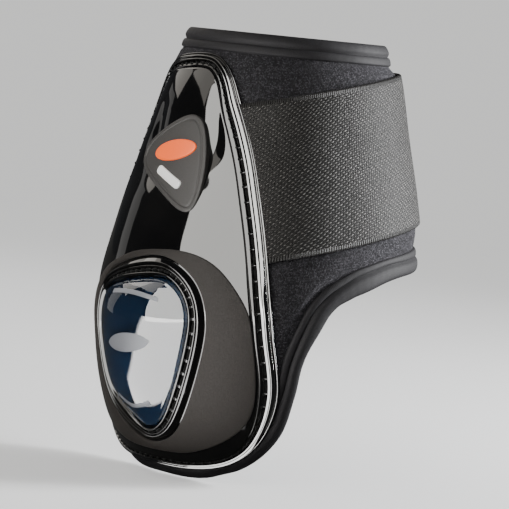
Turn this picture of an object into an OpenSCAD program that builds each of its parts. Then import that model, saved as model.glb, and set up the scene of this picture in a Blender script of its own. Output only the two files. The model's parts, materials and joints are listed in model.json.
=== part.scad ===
// Hind fetlock boot for a horse: a moulded shell with a gel window, on a padded
// neoprene wrap that closes with one wide elastic hook-and-loop strap.
//
// Frame: +Z is the leg axis, up. z = 0 is the middle of the cannon cuff, the
// straight part of the padded lining that grips the leg. The shell's centre
// faces -Y. Azimuth "phi" is in degrees, 0 at -Y, and grows towards +X. "Depth"
// is the distance below the top rim. "Offsets" are radial, from the outer face
// of the neoprene. The front flap leaves on the +X side, the rear flap on -X.

/* [Wrap] */
// Radius of the cannon cuff inside the lining
cuff_r = 31; // [30:0.1:31.2]
// Length of the straight cannon cuff
cuff_l = 22; // [16:1:24]
// Neoprene face thickness
neoprene_t = 2.5; // [2:0.1:3]
// Foam interlining thickness
foam_t = 2.4; // [1.8:0.1:2.8]
// Lining thickness below the cuff
lining_t = 2; // [1.4:0.1:3]
// Width of the rolled edge at the top rim
roll_h = 4.2; // [3.5:0.1:5]
// How far the rolled edge stands proud of the neoprene
roll_proud = 0.7; // [0.3:0.1:1.2]
// Azimuth of the two bend lines, where the flaps leave the shell side
bend_phi = 66; // [65:0.5:68]
// Azimuth where the front flap ends
front_end = 196; // [188:1:198]
// Azimuth where the rear flap ends, measured round the other side
rear_end = 156; // [148:1:158]

/* [Shell] */
// Shell wall
shell_t = 2; // [1.6:0.1:2.4]
// Height of the double bead on the shell's rim
bead_h = 1; // [0.6:0.1:1.4]
// Thickness of the matte patch
patch_t = 0.9; // [0.6:0.1:1.2]
// Width of the gel window's bezel
bezel_w = 5.4; // [4.4:0.1:5.8]
// Height of the gel window's bezel above the shell
bezel_h = 2; // [1.4:0.1:2.6]
// Height of the gel dome above the shell
dome_h = 6; // [4.5:0.25:7]
// Badge thickness
badge_t = 2; // [1.4:0.1:2.6]

/* [Strap] */
// Strap width
strap_w = 56; // [50:1:59]
// Strap thickness
strap_t = 2; // [1.6:0.1:2.4]
// Azimuth where the free strap starts
lift_phi = 84; // [80:1:90]
// Azimuth where the strap end starts to peel
peel_phi = 150; // [142:1:156]
// Azimuth of the strap's free end
strap_end = 238; // [230:1:239]
// Tilt of the strap round the cone
strap_tilt = 13.8; // [12:0.2:15]

/* [Hidden] */
$fn = 96;

NEOPRENE = [0.1, 0.1, 0.12];
FOAM = [0.35, 0.35, 0.37];
LINING = [0.07, 0.07, 0.08];
BINDING = [0.09, 0.09, 0.11];
STRAP = [0.22, 0.21, 0.2];
DARK_THREAD = [0.12, 0.12, 0.12];
PALE_THREAD = [0.15, 0.15, 0.15];

gap = 0.1;       // bond line between glued or sewn layers
seat = 0.05;     // thinner bond line under parts laid on a surface
slit = 0.45;     // half of the open cut at a bend line, in degrees
cuff_top = 3;    // depth where the cuff starts
cuff_bottom = cuff_top + cuff_l;
rim_z = cuff_top + cuff_l / 2;
wrap_bottom = 167;
view_depth = 90; // reach along -Y of the cutters on the shell side

// Outer face of the neoprene, [depth, radius]: a cone that bells out to the
// fetlock and tucks in below it
PROFILE = [[-3, 36.2], [0, 37], [8.3, 40], [26, 43.8], [59.4, 51.9], [84.3, 57.7],
  [100.4, 59.5], [115.3, 58.5], [129.6, 56.2], [139.6, 53.5], [150.6, 49.2], [168, 40]];
function radius(depth) = lookup(depth, PROFILE);

// --- outlines in [phi, depth] ---------------------------------------------
// Full outline of the shell: its top leans away from the strap's side
SHELL = [[-8, 9.4], [2, 9], [10, 9.9], [16, 12.8], [21.2, 17.6], [25.8, 24.6], [31, 33.2],
  [36.4, 44], [40.5, 56.6], [43.8, 69], [46.6, 83], [49.2, 98], [51.6, 111], [53.8, 121.6],
  [54.4, 129], [53, 137], [50, 144.2], [45, 150], [38, 154.2], [28, 156.6], [13, 157.6],
  [0, 157.6], [-13, 157.6], [-28, 156.6], [-38, 154.2], [-45, 150], [-50, 144.2], [-53, 137],
  [-54.4, 129], [-54.2, 121.6], [-53.6, 111], [-52.8, 98], [-51.9, 83], [-50.6, 69],
  [-48.6, 56.6], [-46, 44], [-42.6, 31], [-38.4, 21.4], [-33.4, 15.4], [-26, 12], [-17, 10.2]];
// Half outlines, from the shell's centre line round to it again
PATCH = [[0, 80], [14, 79.8], [27, 83], [37, 90], [43, 98.5], [46, 110], [48, 122],
  [47, 133], [40, 143], [26, 151], [12, 153.4], [0, 153.8]];
BEZEL = [[0, 83.6], [10, 83.4], [18, 85.4], [25, 92.4], [28.4, 104], [27.5, 115],
  [25, 126], [21, 137], [15, 145], [7, 149], [0, 149.8]];
DOME = [[0, 90.4], [9, 90.2], [17, 92], [22, 98.4], [22.7, 105], [21, 116],
  [18.6, 126], [14, 137], [8, 143], [0, 144.8]];
// Full outlines of the badge and the emblems
BADGE = [[6, 31.4], [12.5, 35.4], [16.6, 45], [18.2, 56], [16.4, 65], [8, 64.6],
  [-6, 58.2], [-18.6, 51], [-18.6, 45.4], [-8, 37.6]];
BADGE_EMBLEM = [[-9, 47], [2, 40.5], [12, 46], [2, 50.5]];
BADGE_BAR = [[-6, 52.6], [9, 55.6], [9, 59], [-6, 56]];
DOME_EMBLEM = [[-7, 112], [0, 105], [7, 112], [0, 119]];
// Lower edge of the wrap round the shell: its outside, and the inside of its binding
LOBE = [[bend_phi + 3, 104], [bend_phi - 0.4, 110.5], [64.2, 117], [63.4, 126], [62, 136],
  [58.5, 145], [51, 153.6], [40, 159.6], [22, 163.2], [0, 163.8]];
LOBE_IN = [[bend_phi + 3, 91.5], [bend_phi - 0.4, 96], [61.8, 106], [59.6, 116], [58.2, 127],
  [56, 137], [50, 146.4], [40, 153.4], [22, 158], [0, 158.8]];
// Lower edge of the flaps, the same two lines
FLAP = [[bend_phi - 3, 118], [bend_phi, 110], [69.5, 102.5], [74, 95.6], [82, 90.4],
  [93, 86.8], [107, 84], [130, 82.4], [180, 82]];
FLAP_IN = [[bend_phi - 3, 102.4], [bend_phi, 95.4], [70, 91], [76, 86.4], [84, 82.6],
  [94, 79.8], [108, 77.6], [130, 76.4], [180, 76]];

// --- outline functions ------------------------------------------------------
function catmull_rom(a, b, c, d, t) =
  0.5 * (2 * b + (c - a) * t + (2 * a - 5 * b + 4 * c - d) * t * t
         + (3 * b - a - 3 * c + d) * t * t * t);
function smooth_loop(line, steps) = let (count = len(line))
  [for (i = [0:count - 1]) for (j = [0:steps - 1])
    catmull_rom(line[(i - 1 + count) % count], line[i], line[(i + 1) % count],
                line[(i + 2) % count], j / steps)];
function smooth_edge(line, steps = 3) = let (last = len(line) - 1)
  concat([for (i = [0:last - 1]) for (j = [0:steps - 1])
    catmull_rom(line[max(i - 1, 0)], line[i], line[i + 1], line[min(i + 2, last)], j / steps)],
    [line[last]]);
function both_halves(half) =
  concat(half, [for (i = [len(half) - 2:-1:1]) [-half[i][0], half[i][1]]]);
function reversed(list) = [for (i = [len(list) - 1:-1:0]) list[i]];
function shifted(line, depth, phi = 0) = [for (p = line) [p[0] + phi, p[1] + depth]];

// To millimetres on the unrolled surface, and back
function unroll(p) = [radius(p[1]) * p[0] * PI / 180, p[1]];
function roll_up(p) = [p[0] / radius(p[1]) * 180 / PI, p[1]];
// The shell's rim narrows at the top and, more, at the bottom
function ease(a, b, x) = let (t = min(1, max(0, (x - a) / (b - a)))) t * t * (3 - 2 * t);
function rim_taper(depth) = 1 - 0.2 * (1 - ease(9, 30, depth)) - 0.58 * ease(126, 156, depth);
// Inset of a closed outline, in mm on the surface; "taper" narrows it as the shell's rim
function inset(line, dist, taper = false) =
  let (count = len(line), flat = [for (p = line) unroll(p)])
  [for (i = [0:count - 1])
    let (along = flat[(i + 1) % count] - flat[(i - 1 + count) % count],
         normal = [-along[1], along[0]] / norm(along))
    roll_up(flat[i] + dist * (taper ? rim_taper(line[i][1]) : 1) * normal)];

// Outlines seen along Y and along X
function to_xz(line) = [for (p = line) [radius(p[1]) * sin(p[0]), rim_z - p[1]]];
function to_yz(line) = [for (p = line) [-radius(p[1]) * cos(p[0]), rim_z - p[1]]];

// Depths of the profile's points between two depths, and the two ends
function stops(top, bottom) =
  concat([top], [for (p = PROFILE) if (p[0] > top + 0.5 && p[0] < bottom - 0.5) p[0]], [bottom]);
// Section points, [radius, z], at an offset
function section(depths, offset) = [for (d = depths) [radius(d) + offset, rim_z - d]];

// --- solids of revolution and cutters ----------------------------------------
module revolve(points, phi_a, phi_b) {
  rotate([0, 0, phi_a - 90]) rotate_extrude(angle = phi_b - phi_a) polygon(points);
}
// A layer between two offsets, two azimuths and two depths
module wall(inner, outer, phi_a, phi_b, top, bottom = wrap_bottom) {
  depths = stops(top, bottom);
  revolve(concat(section(depths, outer), section(reversed(depths), inner)), phi_a, phi_b);
}
// What lies behind an outline on the shell side, along Y
module through(line) {
  rotate([90, 0, 0]) linear_extrude(height = view_depth) polygon(to_xz(line));
}
// The band between two insets of an outline
module band(line, near, far, taper = false) {
  difference() {
    through(inset(line, near, taper));
    through(inset(line, far, taper));
  }
}
// The part of a layer on the shell side that its child covers.
// "span" is [half of the azimuth range, top depth, bottom depth].
module plate(inner, outer, span) {
  intersection() {
    wall(inner, outer, -span[0], span[0], span[1], span[2]);
    children();
  }
}
// A wedge about the leg axis between two azimuths
module wedge(phi_a, phi_b) {
  rotate([0, 0, phi_a - 90]) rotate_extrude(angle = phi_b - phi_a)
    translate([0, -150]) square([95, 300]);
}
// The area above a lower edge on the shell side, both halves
module lobe_area(edge, top) {
  half_w = 75;
  right = to_xz(smooth_edge(edge));
  left = [for (i = [len(right) - 2:-1:0]) [-right[i][0], right[i][1]]];
  edge_z = right[0][1];
  rotate([90, 0, 0]) linear_extrude(height = view_depth)
    polygon(concat([[half_w, rim_z - top], [half_w, edge_z]], right, left,
                   [[-half_w, edge_z], [-half_w, rim_z - top]]));
}
// The area above a flap's lower edge, seen along X
module flap_area(edge, top) {
  y_min = -60;
  y_max = 75;
  line = to_yz(smooth_edge(edge));
  translate([-45, 0, 0]) rotate([90, 0, 90]) linear_extrude(height = 135)
    polygon(concat([[y_min, rim_z - top], [y_min, line[0][1]]], line,
                   [[y_max, line[len(line) - 1][1]], [y_max, rim_z - top]]));
}

// --- shell --------------------------------------------------------------------
shell_out = gap + shell_t;
shell_line = smooth_loop(SHELL, 2);
shell_span = [62, 6, 160];
BEADS = [[1.5, 2.8], [3.2, 4.2]]; // [outer edge, inner edge], insets from the shell's edge
bezel_line = smooth_loop(both_halves(BEZEL), 3);
bezel_span = [40, 74, 156];
bezel_out = shell_out + bezel_h;

module outer_shell() color([0.02, 0.02, 0.022]) difference() {
  union() {
    plate(gap, shell_out, shell_span) through(shell_line);
    for (bead = BEADS)
      plate(gap + 0.5, shell_out + bead_h, shell_span)
        band(shell_line, bead[0], bead[1], taper = true);
  }
  through(dome_outline(1.02, 1.02));
}
module shell_thread() color(DARK_THREAD)
  plate(shell_out + seat, shell_out + 0.5, shell_span) band(shell_line, 4.6, 5.4, taper = true);
module impact_patch() color([0.21, 0.2, 0.19]) difference() {
  plate(shell_out + seat, shell_out + patch_t, [56, 70, 158])
    through(inset(smooth_loop(both_halves(PATCH), 2), 1.2));
  through(inset(bezel_line, -0.3));
}
module gel_bezel() color([0.03, 0.03, 0.03])
  plate(shell_out + seat, bezel_out, bezel_span) band(bezel_line, 0, bezel_w);
module bezel_thread() color(PALE_THREAD)
  plate(bezel_out + seat, bezel_out + 0.45, bezel_span)
    band(bezel_line, bezel_w * 0.55, bezel_w * 0.7);

// --- gel window -----------------------------------------------------------------
dome_line = smooth_loop(both_halves(DOME), 3);
dome_mid = 114;  // depth of the point the dome's outline is scaled about
dome_wall = 1.2;
backing_out = 0.9;
dome_floor = backing_out + gap;
emblem_out = dome_floor + 0.4;

// The dome's outline scaled in azimuth and in depth
function dome_outline(phi_scale, depth_scale) =
  [for (p = dome_line) [p[0] * phi_scale, dome_mid + (p[1] - dome_mid) * depth_scale]];

// A pillow over the shell's curve: tighter than the shell both ways.
// "shrink" takes it in from the outside.
module pillow(shrink) {
  axis_y = 24;  // distance of its axis from the leg axis, towards -Y
  arc_r = 74;
  arc_depth = 107;
  crown_r = radius(110) + shell_out + dome_h - shrink;
  intersection() {
    translate([0, -axis_y, 0]) rotate([0, 0, -180]) rotate_extrude(angle = 180)
      intersection() {
        translate([crown_r - axis_y - arc_r, rim_z - arc_depth]) circle(r = arc_r);
        translate([2, rim_z - 160]) square([80, 90]);
      }
    through(dome_outline(0.975 - shrink * 0.03, 0.98 - shrink * 0.03));
  }
}
// Everything from the leg axis out to an offset, behind the gel window
module inside(outer) {
  top = 60;
  bottom = 165;
  rotate_extrude()
    polygon(concat([[0, rim_z - top]], section(stops(top, bottom), outer),
                   [[0, rim_z - bottom]]));
}
module gel_backing() color([0.02, 0.05, 0.12])
  plate(gap, backing_out, [40, 80, 152]) through(dome_outline(0.985, 0.985));
module gel_dome() color([0.6, 0.7, 0.8, 0.35]) difference() {
  pillow(0);
  pillow(dome_wall);
  inside(dome_floor);
}
module gel_fluid() color([0.03, 0.08, 0.2, 0.6]) difference() {
  pillow(dome_wall + gap);
  inside(emblem_out + gap);
}
module dome_emblem() color([0.5, 0.5, 0.53])
  plate(dome_floor, emblem_out, [30, 90, 140]) through(smooth_loop(DOME_EMBLEM, 4));

// --- badge ------------------------------------------------------------------------
badge_out = shell_out + badge_t;
badge_span = [30, 20, 76];

module badge_base() color([0.17, 0.165, 0.16])
  plate(shell_out + seat, badge_out, badge_span) through(smooth_loop(BADGE, 3));
module badge_emblem() color([0.95, 0.28, 0.05])
  plate(badge_out + seat, badge_out + 0.7, badge_span) through(smooth_loop(BADGE_EMBLEM, 4));
module badge_bar() color([0.93, 0.93, 0.92])
  plate(badge_out + seat, badge_out + 0.6, badge_span) through(BADGE_BAR);

// --- wrap under the shell -----------------------------------------------------------
core_phi = bend_phi - slit;
neoprene_in = -neoprene_t;
foam_out = neoprene_in - gap;
foam_in = foam_out - foam_t;
lining_out = foam_in - gap;
lining_in = lining_out - lining_t;
roll_rise = 0.8;        // height of the rolled edge above the rim
wrap_top = roll_h - roll_rise + gap; // depth where neoprene and foam start
roll_r = cuff_r + 0.3;  // inner radius of the rolled edge
binding_fit = 0.15;     // depth of the gap above the lower bindings

// The lining: its inner face is the straight cuff, then runs parallel to the neoprene
module lining_wall(phi_a, phi_b, bottom) {
  flare_depth = cuff_bottom + 18;
  depths = stops(cuff_top, bottom);
  below_flare = [for (d = reversed(depths)) if (d > flare_depth + 4) d];
  revolve(concat(section(depths, lining_out), section(below_flare, lining_in),
                 section([flare_depth], lining_in - 1),
                 [[cuff_r, rim_z - cuff_bottom], [cuff_r, rim_z - cuff_top]]),
          phi_a, phi_b);
}
// The rolled edge at the rim: a flattened round, revolved
module rolled_edge(phi_a, phi_b) {
  sides = 16;
  outer_r = radius(0) + roll_proud;
  bottom = cuff_top - gap;
  centre = [(outer_r + roll_r) / 2, rim_z - (bottom - roll_rise) / 2];
  half_w = (outer_r - roll_r) / 2;
  half_h = (bottom + roll_rise) / 2;
  revolve([for (i = [0:sides - 1])
    centre + [half_w * cos(i * 360 / sides), half_h * sin(i * 360 / sides)]], phi_a, phi_b);
}
module core_layer(inner, outer) {
  intersection() {
    wall(inner, outer, -core_phi, core_phi, wrap_top);
    lobe_area(LOBE_IN, 0);
  }
}
module neoprene_core() color(NEOPRENE) core_layer(neoprene_in, 0);
module foam_core() color(FOAM) core_layer(foam_in, foam_out);
module lining_core() color(LINING) intersection() {
  lining_wall(-core_phi, core_phi, wrap_bottom);
  lobe_area(LOBE_IN, -3);
}
module top_binding() color(BINDING) rolled_edge(-core_phi, core_phi);
module bottom_binding() color(BINDING) difference() {
  intersection() {
    wall(lining_in, roll_proud, -core_phi, core_phi, 60);
    lobe_area(LOBE, 50);
  }
  lobe_area(shifted(LOBE_IN, binding_fit, phi = 0.1), -10);
}

// --- flaps ------------------------------------------------------------------------------
flap_phi = bend_phi + slit;
flap_bottom = 118;
binding_w = 6;  // width of the binding at a flap's end, in degrees

module flap_wall(inner, outer, end, edge, top) {
  intersection() {
    wall(inner, outer, flap_phi, end, top, flap_bottom);
    flap_area(edge, top - 2);
  }
}
module flap_layer(inner, outer, end) {
  flap_wall(inner, outer, end - binding_w, FLAP_IN, wrap_top);
}
module flap_lining(end) {
  intersection() {
    lining_wall(flap_phi, end - binding_w, flap_bottom);
    flap_area(FLAP_IN, -3);
  }
}
// The rolled edge, and the binding along the flap's lower edge and end
module flap_binding(end) {
  rolled_edge(flap_phi, end);
  difference() {
    flap_wall(lining_in, roll_proud - 0.1, end, FLAP, 0.5);
    intersection() {
      flap_area(shifted(FLAP_IN, binding_fit), -10);
      wedge(bend_phi - 10, end - binding_w + gap);
    }
    cylinder(r = roll_r + gap, h = 200, center = true);
  }
}
module other_side() { mirror([1, 0, 0]) children(); }

module front_neoprene() color(NEOPRENE) flap_layer(neoprene_in, 0, front_end);
module front_foam() color(FOAM) flap_layer(foam_in, foam_out, front_end);
module front_lining() color(LINING) flap_lining(front_end);
module front_binding() color(BINDING) flap_binding(front_end);
module rear_neoprene() color(NEOPRENE) other_side() flap_layer(neoprene_in, 0, rear_end);
module rear_foam() color(FOAM) other_side() flap_layer(foam_in, foam_out, rear_end);
module rear_lining() color(LINING) other_side() flap_lining(rear_end);
module rear_binding() color(BINDING) other_side() flap_binding(rear_end);

// --- strap --------------------------------------------------------------------------------
strap_in = 1.4;
strap_out = strap_in + strap_t;
strap_high_phi = 145;      // azimuth where the strap sits highest
strap_depth = 49.4;        // depth of the strap's middle plane on the leg axis
rear_phi = 360 - rear_end; // azimuth of the rear flap's end
loop_out = 0.65;
tab_out = strap_out + 1.1;
stitch_w = 0.8;            // width of a thread line, in degrees

// The part of a layer between the strap's two slanted edges
module strap_wall(phi_a, phi_b, width = strap_w, inner = strap_in, outer = strap_out) {
  intersection() {
    wall(inner, outer, phi_a, phi_b, 1, 96);
    translate([0, 0, rim_z - strap_depth])
      rotate([0, 0, strap_high_phi - 90]) rotate([0, -strap_tilt, 0])
        cube([200, 200, width], center = true);
  }
}
module strap_root() color(STRAP) difference() {
  strap_wall(30, core_phi);
  through(inset(shell_line, -0.4));
}
module strap_anchor() color(STRAP) strap_wall(flap_phi, lift_phi - slit);
module anchor_thread() color(DARK_THREAD)
  for (phi = [76, 79])
    strap_wall(phi, phi + stitch_w, strap_w - 6, strap_out + seat, strap_out + 0.4);
module strap_band() color([0.26, 0.255, 0.25]) strap_wall(lift_phi + slit, peel_phi - slit);
module strap_end_band() color([0.3, 0.29, 0.28]) strap_wall(peel_phi + slit, strap_end);
module hook_patch() color([0.04, 0.04, 0.045])
  strap_wall(rear_phi + 8, strap_end - 2, strap_w - 8, loop_out + gap, strap_in - seat);
module loop_patch() color([0.05, 0.05, 0.055]) intersection() {
  strap_wall(rear_phi + 7, 264, strap_w - 4, gap, loop_out);
  other_side() flap_area(shifted(FLAP_IN, -0.5), -3);
}
module pull_tab() color([0.05, 0.05, 0.05])
  strap_wall(strap_end - 11, strap_end, strap_w - 26, strap_out + seat, tab_out);
module tab_thread() color(PALE_THREAD)
  strap_wall(strap_end - 4, strap_end - 4 + stitch_w, strap_w - 32, tab_out + seat, tab_out + 0.4);

outer_shell();
shell_thread();
impact_patch();
gel_bezel();
bezel_thread();
gel_dome();
gel_fluid();
gel_backing();
dome_emblem();
badge_base();
badge_emblem();
badge_bar();
neoprene_core();
foam_core();
lining_core();
top_binding();
bottom_binding();
strap_root();
front_neoprene();
front_foam();
front_lining();
front_binding();
strap_anchor();
anchor_thread();
strap_band();
strap_end_band();
hook_patch();
pull_tab();
tab_thread();
rear_neoprene();
rear_foam();
rear_lining();
rear_binding();
loop_patch();
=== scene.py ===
# A leg boot standing upright on Z, its axis at the origin. A padded neoprene wrap goes round the
# leg and closes with an elastic strap. A moulded shell on its -Y side carries a matte patch,
# a clear domed window and a badge. Azimuth is in degrees from -Y towards +X; depth is in mm
# down from the rim; height is in mm out of the wrap's face. "Front" is the +X half, "rear" the -X.
import json
import math

import bmesh
import bpy
import numpy as np
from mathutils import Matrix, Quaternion, Vector
from mathutils.bvhtree import BVHTree


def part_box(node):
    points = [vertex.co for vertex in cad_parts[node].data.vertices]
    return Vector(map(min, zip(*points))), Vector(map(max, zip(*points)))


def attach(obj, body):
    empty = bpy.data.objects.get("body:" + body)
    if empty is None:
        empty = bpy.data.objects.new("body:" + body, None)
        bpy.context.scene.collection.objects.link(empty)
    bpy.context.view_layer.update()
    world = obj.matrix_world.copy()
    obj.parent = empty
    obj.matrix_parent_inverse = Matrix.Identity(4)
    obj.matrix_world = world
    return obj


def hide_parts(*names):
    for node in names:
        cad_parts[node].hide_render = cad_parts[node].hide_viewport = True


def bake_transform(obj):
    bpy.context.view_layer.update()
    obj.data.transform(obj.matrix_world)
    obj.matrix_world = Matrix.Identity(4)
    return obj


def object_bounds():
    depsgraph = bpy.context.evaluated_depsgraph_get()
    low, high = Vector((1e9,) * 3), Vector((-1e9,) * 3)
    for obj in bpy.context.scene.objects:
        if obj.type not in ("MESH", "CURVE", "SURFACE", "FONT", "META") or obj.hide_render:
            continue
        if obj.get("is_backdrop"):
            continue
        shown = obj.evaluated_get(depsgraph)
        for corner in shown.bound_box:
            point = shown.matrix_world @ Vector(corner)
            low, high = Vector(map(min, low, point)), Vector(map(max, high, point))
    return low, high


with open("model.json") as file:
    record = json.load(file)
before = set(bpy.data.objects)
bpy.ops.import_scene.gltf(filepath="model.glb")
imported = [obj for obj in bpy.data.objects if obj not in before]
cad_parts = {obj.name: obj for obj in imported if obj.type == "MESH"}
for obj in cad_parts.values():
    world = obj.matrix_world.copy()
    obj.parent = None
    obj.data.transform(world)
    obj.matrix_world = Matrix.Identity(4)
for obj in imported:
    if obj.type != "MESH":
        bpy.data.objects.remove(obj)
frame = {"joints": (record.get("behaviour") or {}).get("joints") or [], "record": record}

SIZE = {"cad_box": [list(corner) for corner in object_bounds()]}
PI = math.pi

# ---------------------------------------------------------------- frame
CUFF_RADIUS = 31.0      # inside of the lining at the top, design mm
RIM_DROP = 0.8          # from the top of the binding down to depth 0
clamp = next(mount for mount in frame["record"]["mounts"] if mount["name"] == "leg_clamp")
SCALE = clamp["dims"]["r_mm"] / CUFF_RADIUS     # real mm per design mm
RIM_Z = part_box("top_binding")[1].z * 1000 / SCALE - RIM_DROP
JOINTS = {joint["name"]: joint["pos_m"] for joint in frame["joints"]}


def joint_azimuth(name):
    place = JOINTS[name]
    return math.degrees(math.atan2(place[0], -place[1]))


FRONT_BEND = joint_azimuth("front_flap_open")
REAR_BEND = -joint_azimuth("rear_flap_open")    # measured towards -X
STRAP_LIFT = joint_azimuth("strap_swing")
STRAP_PEEL = joint_azimuth("strap_peel")

# outer face of the neoprene: depth, radius
WRAP_PROFILE = np.array([
    [-4, 35.6], [0, 36.9], [8.3, 39.6], [26, 43.8], [43, 47.9], [59.4, 51.9], [72, 54.8],
    [84.3, 57.5], [92, 58.9], [100.4, 59.6], [108, 59.5], [115.3, 58.6], [129.6, 56.1],
    [139.6, 53.3], [150.6, 49.2], [160, 44.6], [170, 39]])


# ---------------------------------------------------------------- curves
def spline_bends(x, y):
    """Second derivatives at the knots of a natural cubic spline."""
    count = len(x)
    gap = np.diff(x)
    matrix = np.eye(count)
    right = np.zeros(count)
    for i in range(1, count - 1):
        matrix[i, i - 1:i + 2] = [gap[i - 1], 2 * (gap[i - 1] + gap[i]), gap[i]]
        right[i] = 6 * ((y[i + 1] - y[i]) / gap[i] - (y[i] - y[i - 1]) / gap[i - 1])
    return np.linalg.solve(matrix, right)


def loop_bends(knots, gap):
    """The same for a closed curve whose last knot repeats the first."""
    count = len(gap)
    matrix = np.zeros((count, count))
    right = np.zeros((count, 2))
    for i in range(count):
        before, after = gap[i - 1], gap[i]
        matrix[i, i - 1] += before
        matrix[i, i] += 2 * (before + after)
        matrix[i, (i + 1) % count] += after
        step_in = (knots[i] - knots[i - 1 if i else count - 1]) / before
        right[i] = 6 * ((knots[i + 1] - knots[i]) / after - step_in)
    return close(np.linalg.solve(matrix, right))


def spline_value(start, end, start_bend, end_bend, share, gap):
    """A cubic span at a share of the way from start to end."""
    rest = 1 - share
    bend = (rest ** 3 - rest) * start_bend + (share ** 3 - share) * end_bend
    return rest * start + share * end + bend * gap ** 2 / 6


def close(line):
    return np.vstack([line, line[:1]])


def run_length(line):
    """Distance along a line at each of its points."""
    return np.r_[0, np.cumsum(np.linalg.norm(np.diff(line, axis=0), axis=1))]


def resample(line, count, closed=False):
    """Even samples: count if closed, count + 1 if open."""
    run = run_length(line)
    stations = np.linspace(0, run[-1], count + 1)
    even = np.stack([np.interp(stations, run, line[:, k]) for k in range(line.shape[1])], 1)
    return even[:-1] if closed else even


def curve(points, count, closed=False):
    """A smooth cubic curve through points, evenly sampled."""
    knots = np.asarray(points, float)
    if closed:
        knots = close(knots)
    station = np.r_[0, np.cumsum(np.sqrt(np.linalg.norm(np.diff(knots, axis=0), axis=1)))]
    gap = np.diff(station)
    if closed:
        bends = loop_bends(knots, gap)
    else:
        bends = np.stack([spline_bends(station, knots[:, k]) for k in (0, 1)], 1)
    share = np.linspace(0, 1, 40, endpoint=False)[:, None]
    spans = [spline_value(knots[i], knots[i + 1], bends[i], bends[i + 1], share, gap[i])
             for i in range(len(gap))]
    return resample(np.vstack(spans + [knots[-1:]]), count, closed)


def normals(line, closed=True):
    """Unit left normals of a line in the chart."""
    if closed:
        along = np.roll(line, -1, 0) - np.roll(line, 1, 0)
    else:
        along = np.gradient(line, axis=0)
    left = np.stack([-along[:, 1], along[:, 0]], 1)
    return left / np.linalg.norm(left, axis=1)[:, None]


def down_normals(line):
    """Normals of an open line, turned so that they point down at its start."""
    side = normals(line, closed=False)
    return -side if side[5, 1] < 0 else side


def inset(line, distance):
    """A closed line moved along its left normals by one distance, or one for each point."""
    return line + normals(line) * np.broadcast_to(distance, len(line))[:, None]


def facing_in(line):
    """Turn a closed line so that its left normals point inwards."""
    ahead = np.roll(line, -1, 0)
    area = np.sum(line[:, 0] * ahead[:, 1] - ahead[:, 0] * line[:, 1])
    return line if area > 0 else line[::-1].copy()


def distance_to(points, line, batch=2000):
    """Shortest distance from each point to a polyline, worked in batches to save memory."""
    start = line[:-1]
    leg = line[1:] - start
    leg_squared = (leg ** 2).sum(1) + 1e-12
    nearest = np.full(len(points), 1e9)
    for k in range(0, len(points), batch):
        some = points[k:k + batch]
        share = np.clip(((some[:, None] - start) * leg).sum(2) / leg_squared, 0, 1)
        gap = np.linalg.norm(some[:, None] - (start + share[..., None] * leg), axis=2)
        nearest[k:k + batch] = gap.min(1)
    return nearest


def ease(start, end, x):
    """0 before start, 1 after end, smooth between."""
    t = np.clip((np.asarray(x, float) - start) / (end - start), 0, 1)
    return t * t * (3 - 2 * t)


def averaged(values, width=9, passes=3):
    for _ in range(passes):
        padded = np.r_[np.repeat(values[0], width // 2), values,
                       np.repeat(values[-1], width // 2)]
        values = np.convolve(padded, np.ones(width) / width, "valid")
    return values


def wobble(x, y, seed, scale):
    """Smooth repeatable noise in about -1..1; scale is in mm."""
    x, y = np.asarray(x, float) / scale, np.asarray(y, float) / scale
    return (np.sin(1.7 * x + 2.3 * np.sin(0.9 * y + seed) + seed) * 0.5
            + np.sin(2.9 * y + 1.9 * np.sin(1.3 * x - seed) + 2 * seed) * 0.3
            + np.sin(4.1 * x - 3.3 * y + 3 * seed) * 0.2)


# ---------------------------------------------------------------- the wrap as a surface
PROFILE_DEPTH, PROFILE_RADIUS = WRAP_PROFILE.T
PROFILE_BEND = spline_bends(PROFILE_DEPTH, PROFILE_RADIUS)


def wrap_radius(depth):
    depth = np.clip(np.asarray(depth, float), PROFILE_DEPTH[0], PROFILE_DEPTH[-1])
    i = np.clip(np.searchsorted(PROFILE_DEPTH, depth) - 1, 0, len(PROFILE_DEPTH) - 2)
    gap = PROFILE_DEPTH[i + 1] - PROFILE_DEPTH[i]
    return spline_value(PROFILE_RADIUS[i], PROFILE_RADIUS[i + 1], PROFILE_BEND[i],
                        PROFILE_BEND[i + 1], (depth - PROFILE_DEPTH[i]) / gap, gap)


def wrap_point(azimuth, depth, height):
    """Points in metres, height mm along the wrap's outward normal."""
    azimuth, depth, height = np.broadcast_arrays(
        np.asarray(azimuth, float), np.asarray(depth, float), np.asarray(height, float))
    slope = wrap_radius(depth + 0.5) - wrap_radius(depth - 0.5)
    lean = 1 / np.sqrt(1 + slope * slope)
    radius = wrap_radius(depth) + height * lean
    z = RIM_Z - depth + height * slope * lean
    angle = np.radians(azimuth)
    return np.stack([radius * np.sin(angle), -radius * np.cos(angle), z], -1) * 0.001 * SCALE


def to_chart(polar):
    """(azimuth, depth) to the flat chart (mm across, depth)."""
    polar = np.asarray(polar, float)
    across = wrap_radius(polar[..., 1]) * np.radians(polar[..., 0])
    return np.stack([across, polar[..., 1]], -1)


def to_polar(chart):
    azimuth = np.degrees(chart[..., 0] / wrap_radius(chart[..., 1]))
    return np.stack([azimuth, chart[..., 1]], -1)


def arc_length(azimuth, radius):
    return azimuth * np.radians(1) * radius


def tagged(chart, height):
    """The (across, depth, height) values kept for the textures."""
    return np.concatenate([chart, height[..., None]], -1)


def lay(chart, height):
    """Points and texture values of a grid lying on the wrap."""
    polar = to_polar(chart)
    return wrap_point(polar[..., 0], polar[..., 1], height), tagged(chart, height)


# ---------------------------------------------------------------- material helper
def grey(value):
    return (value, value, value)


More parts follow.
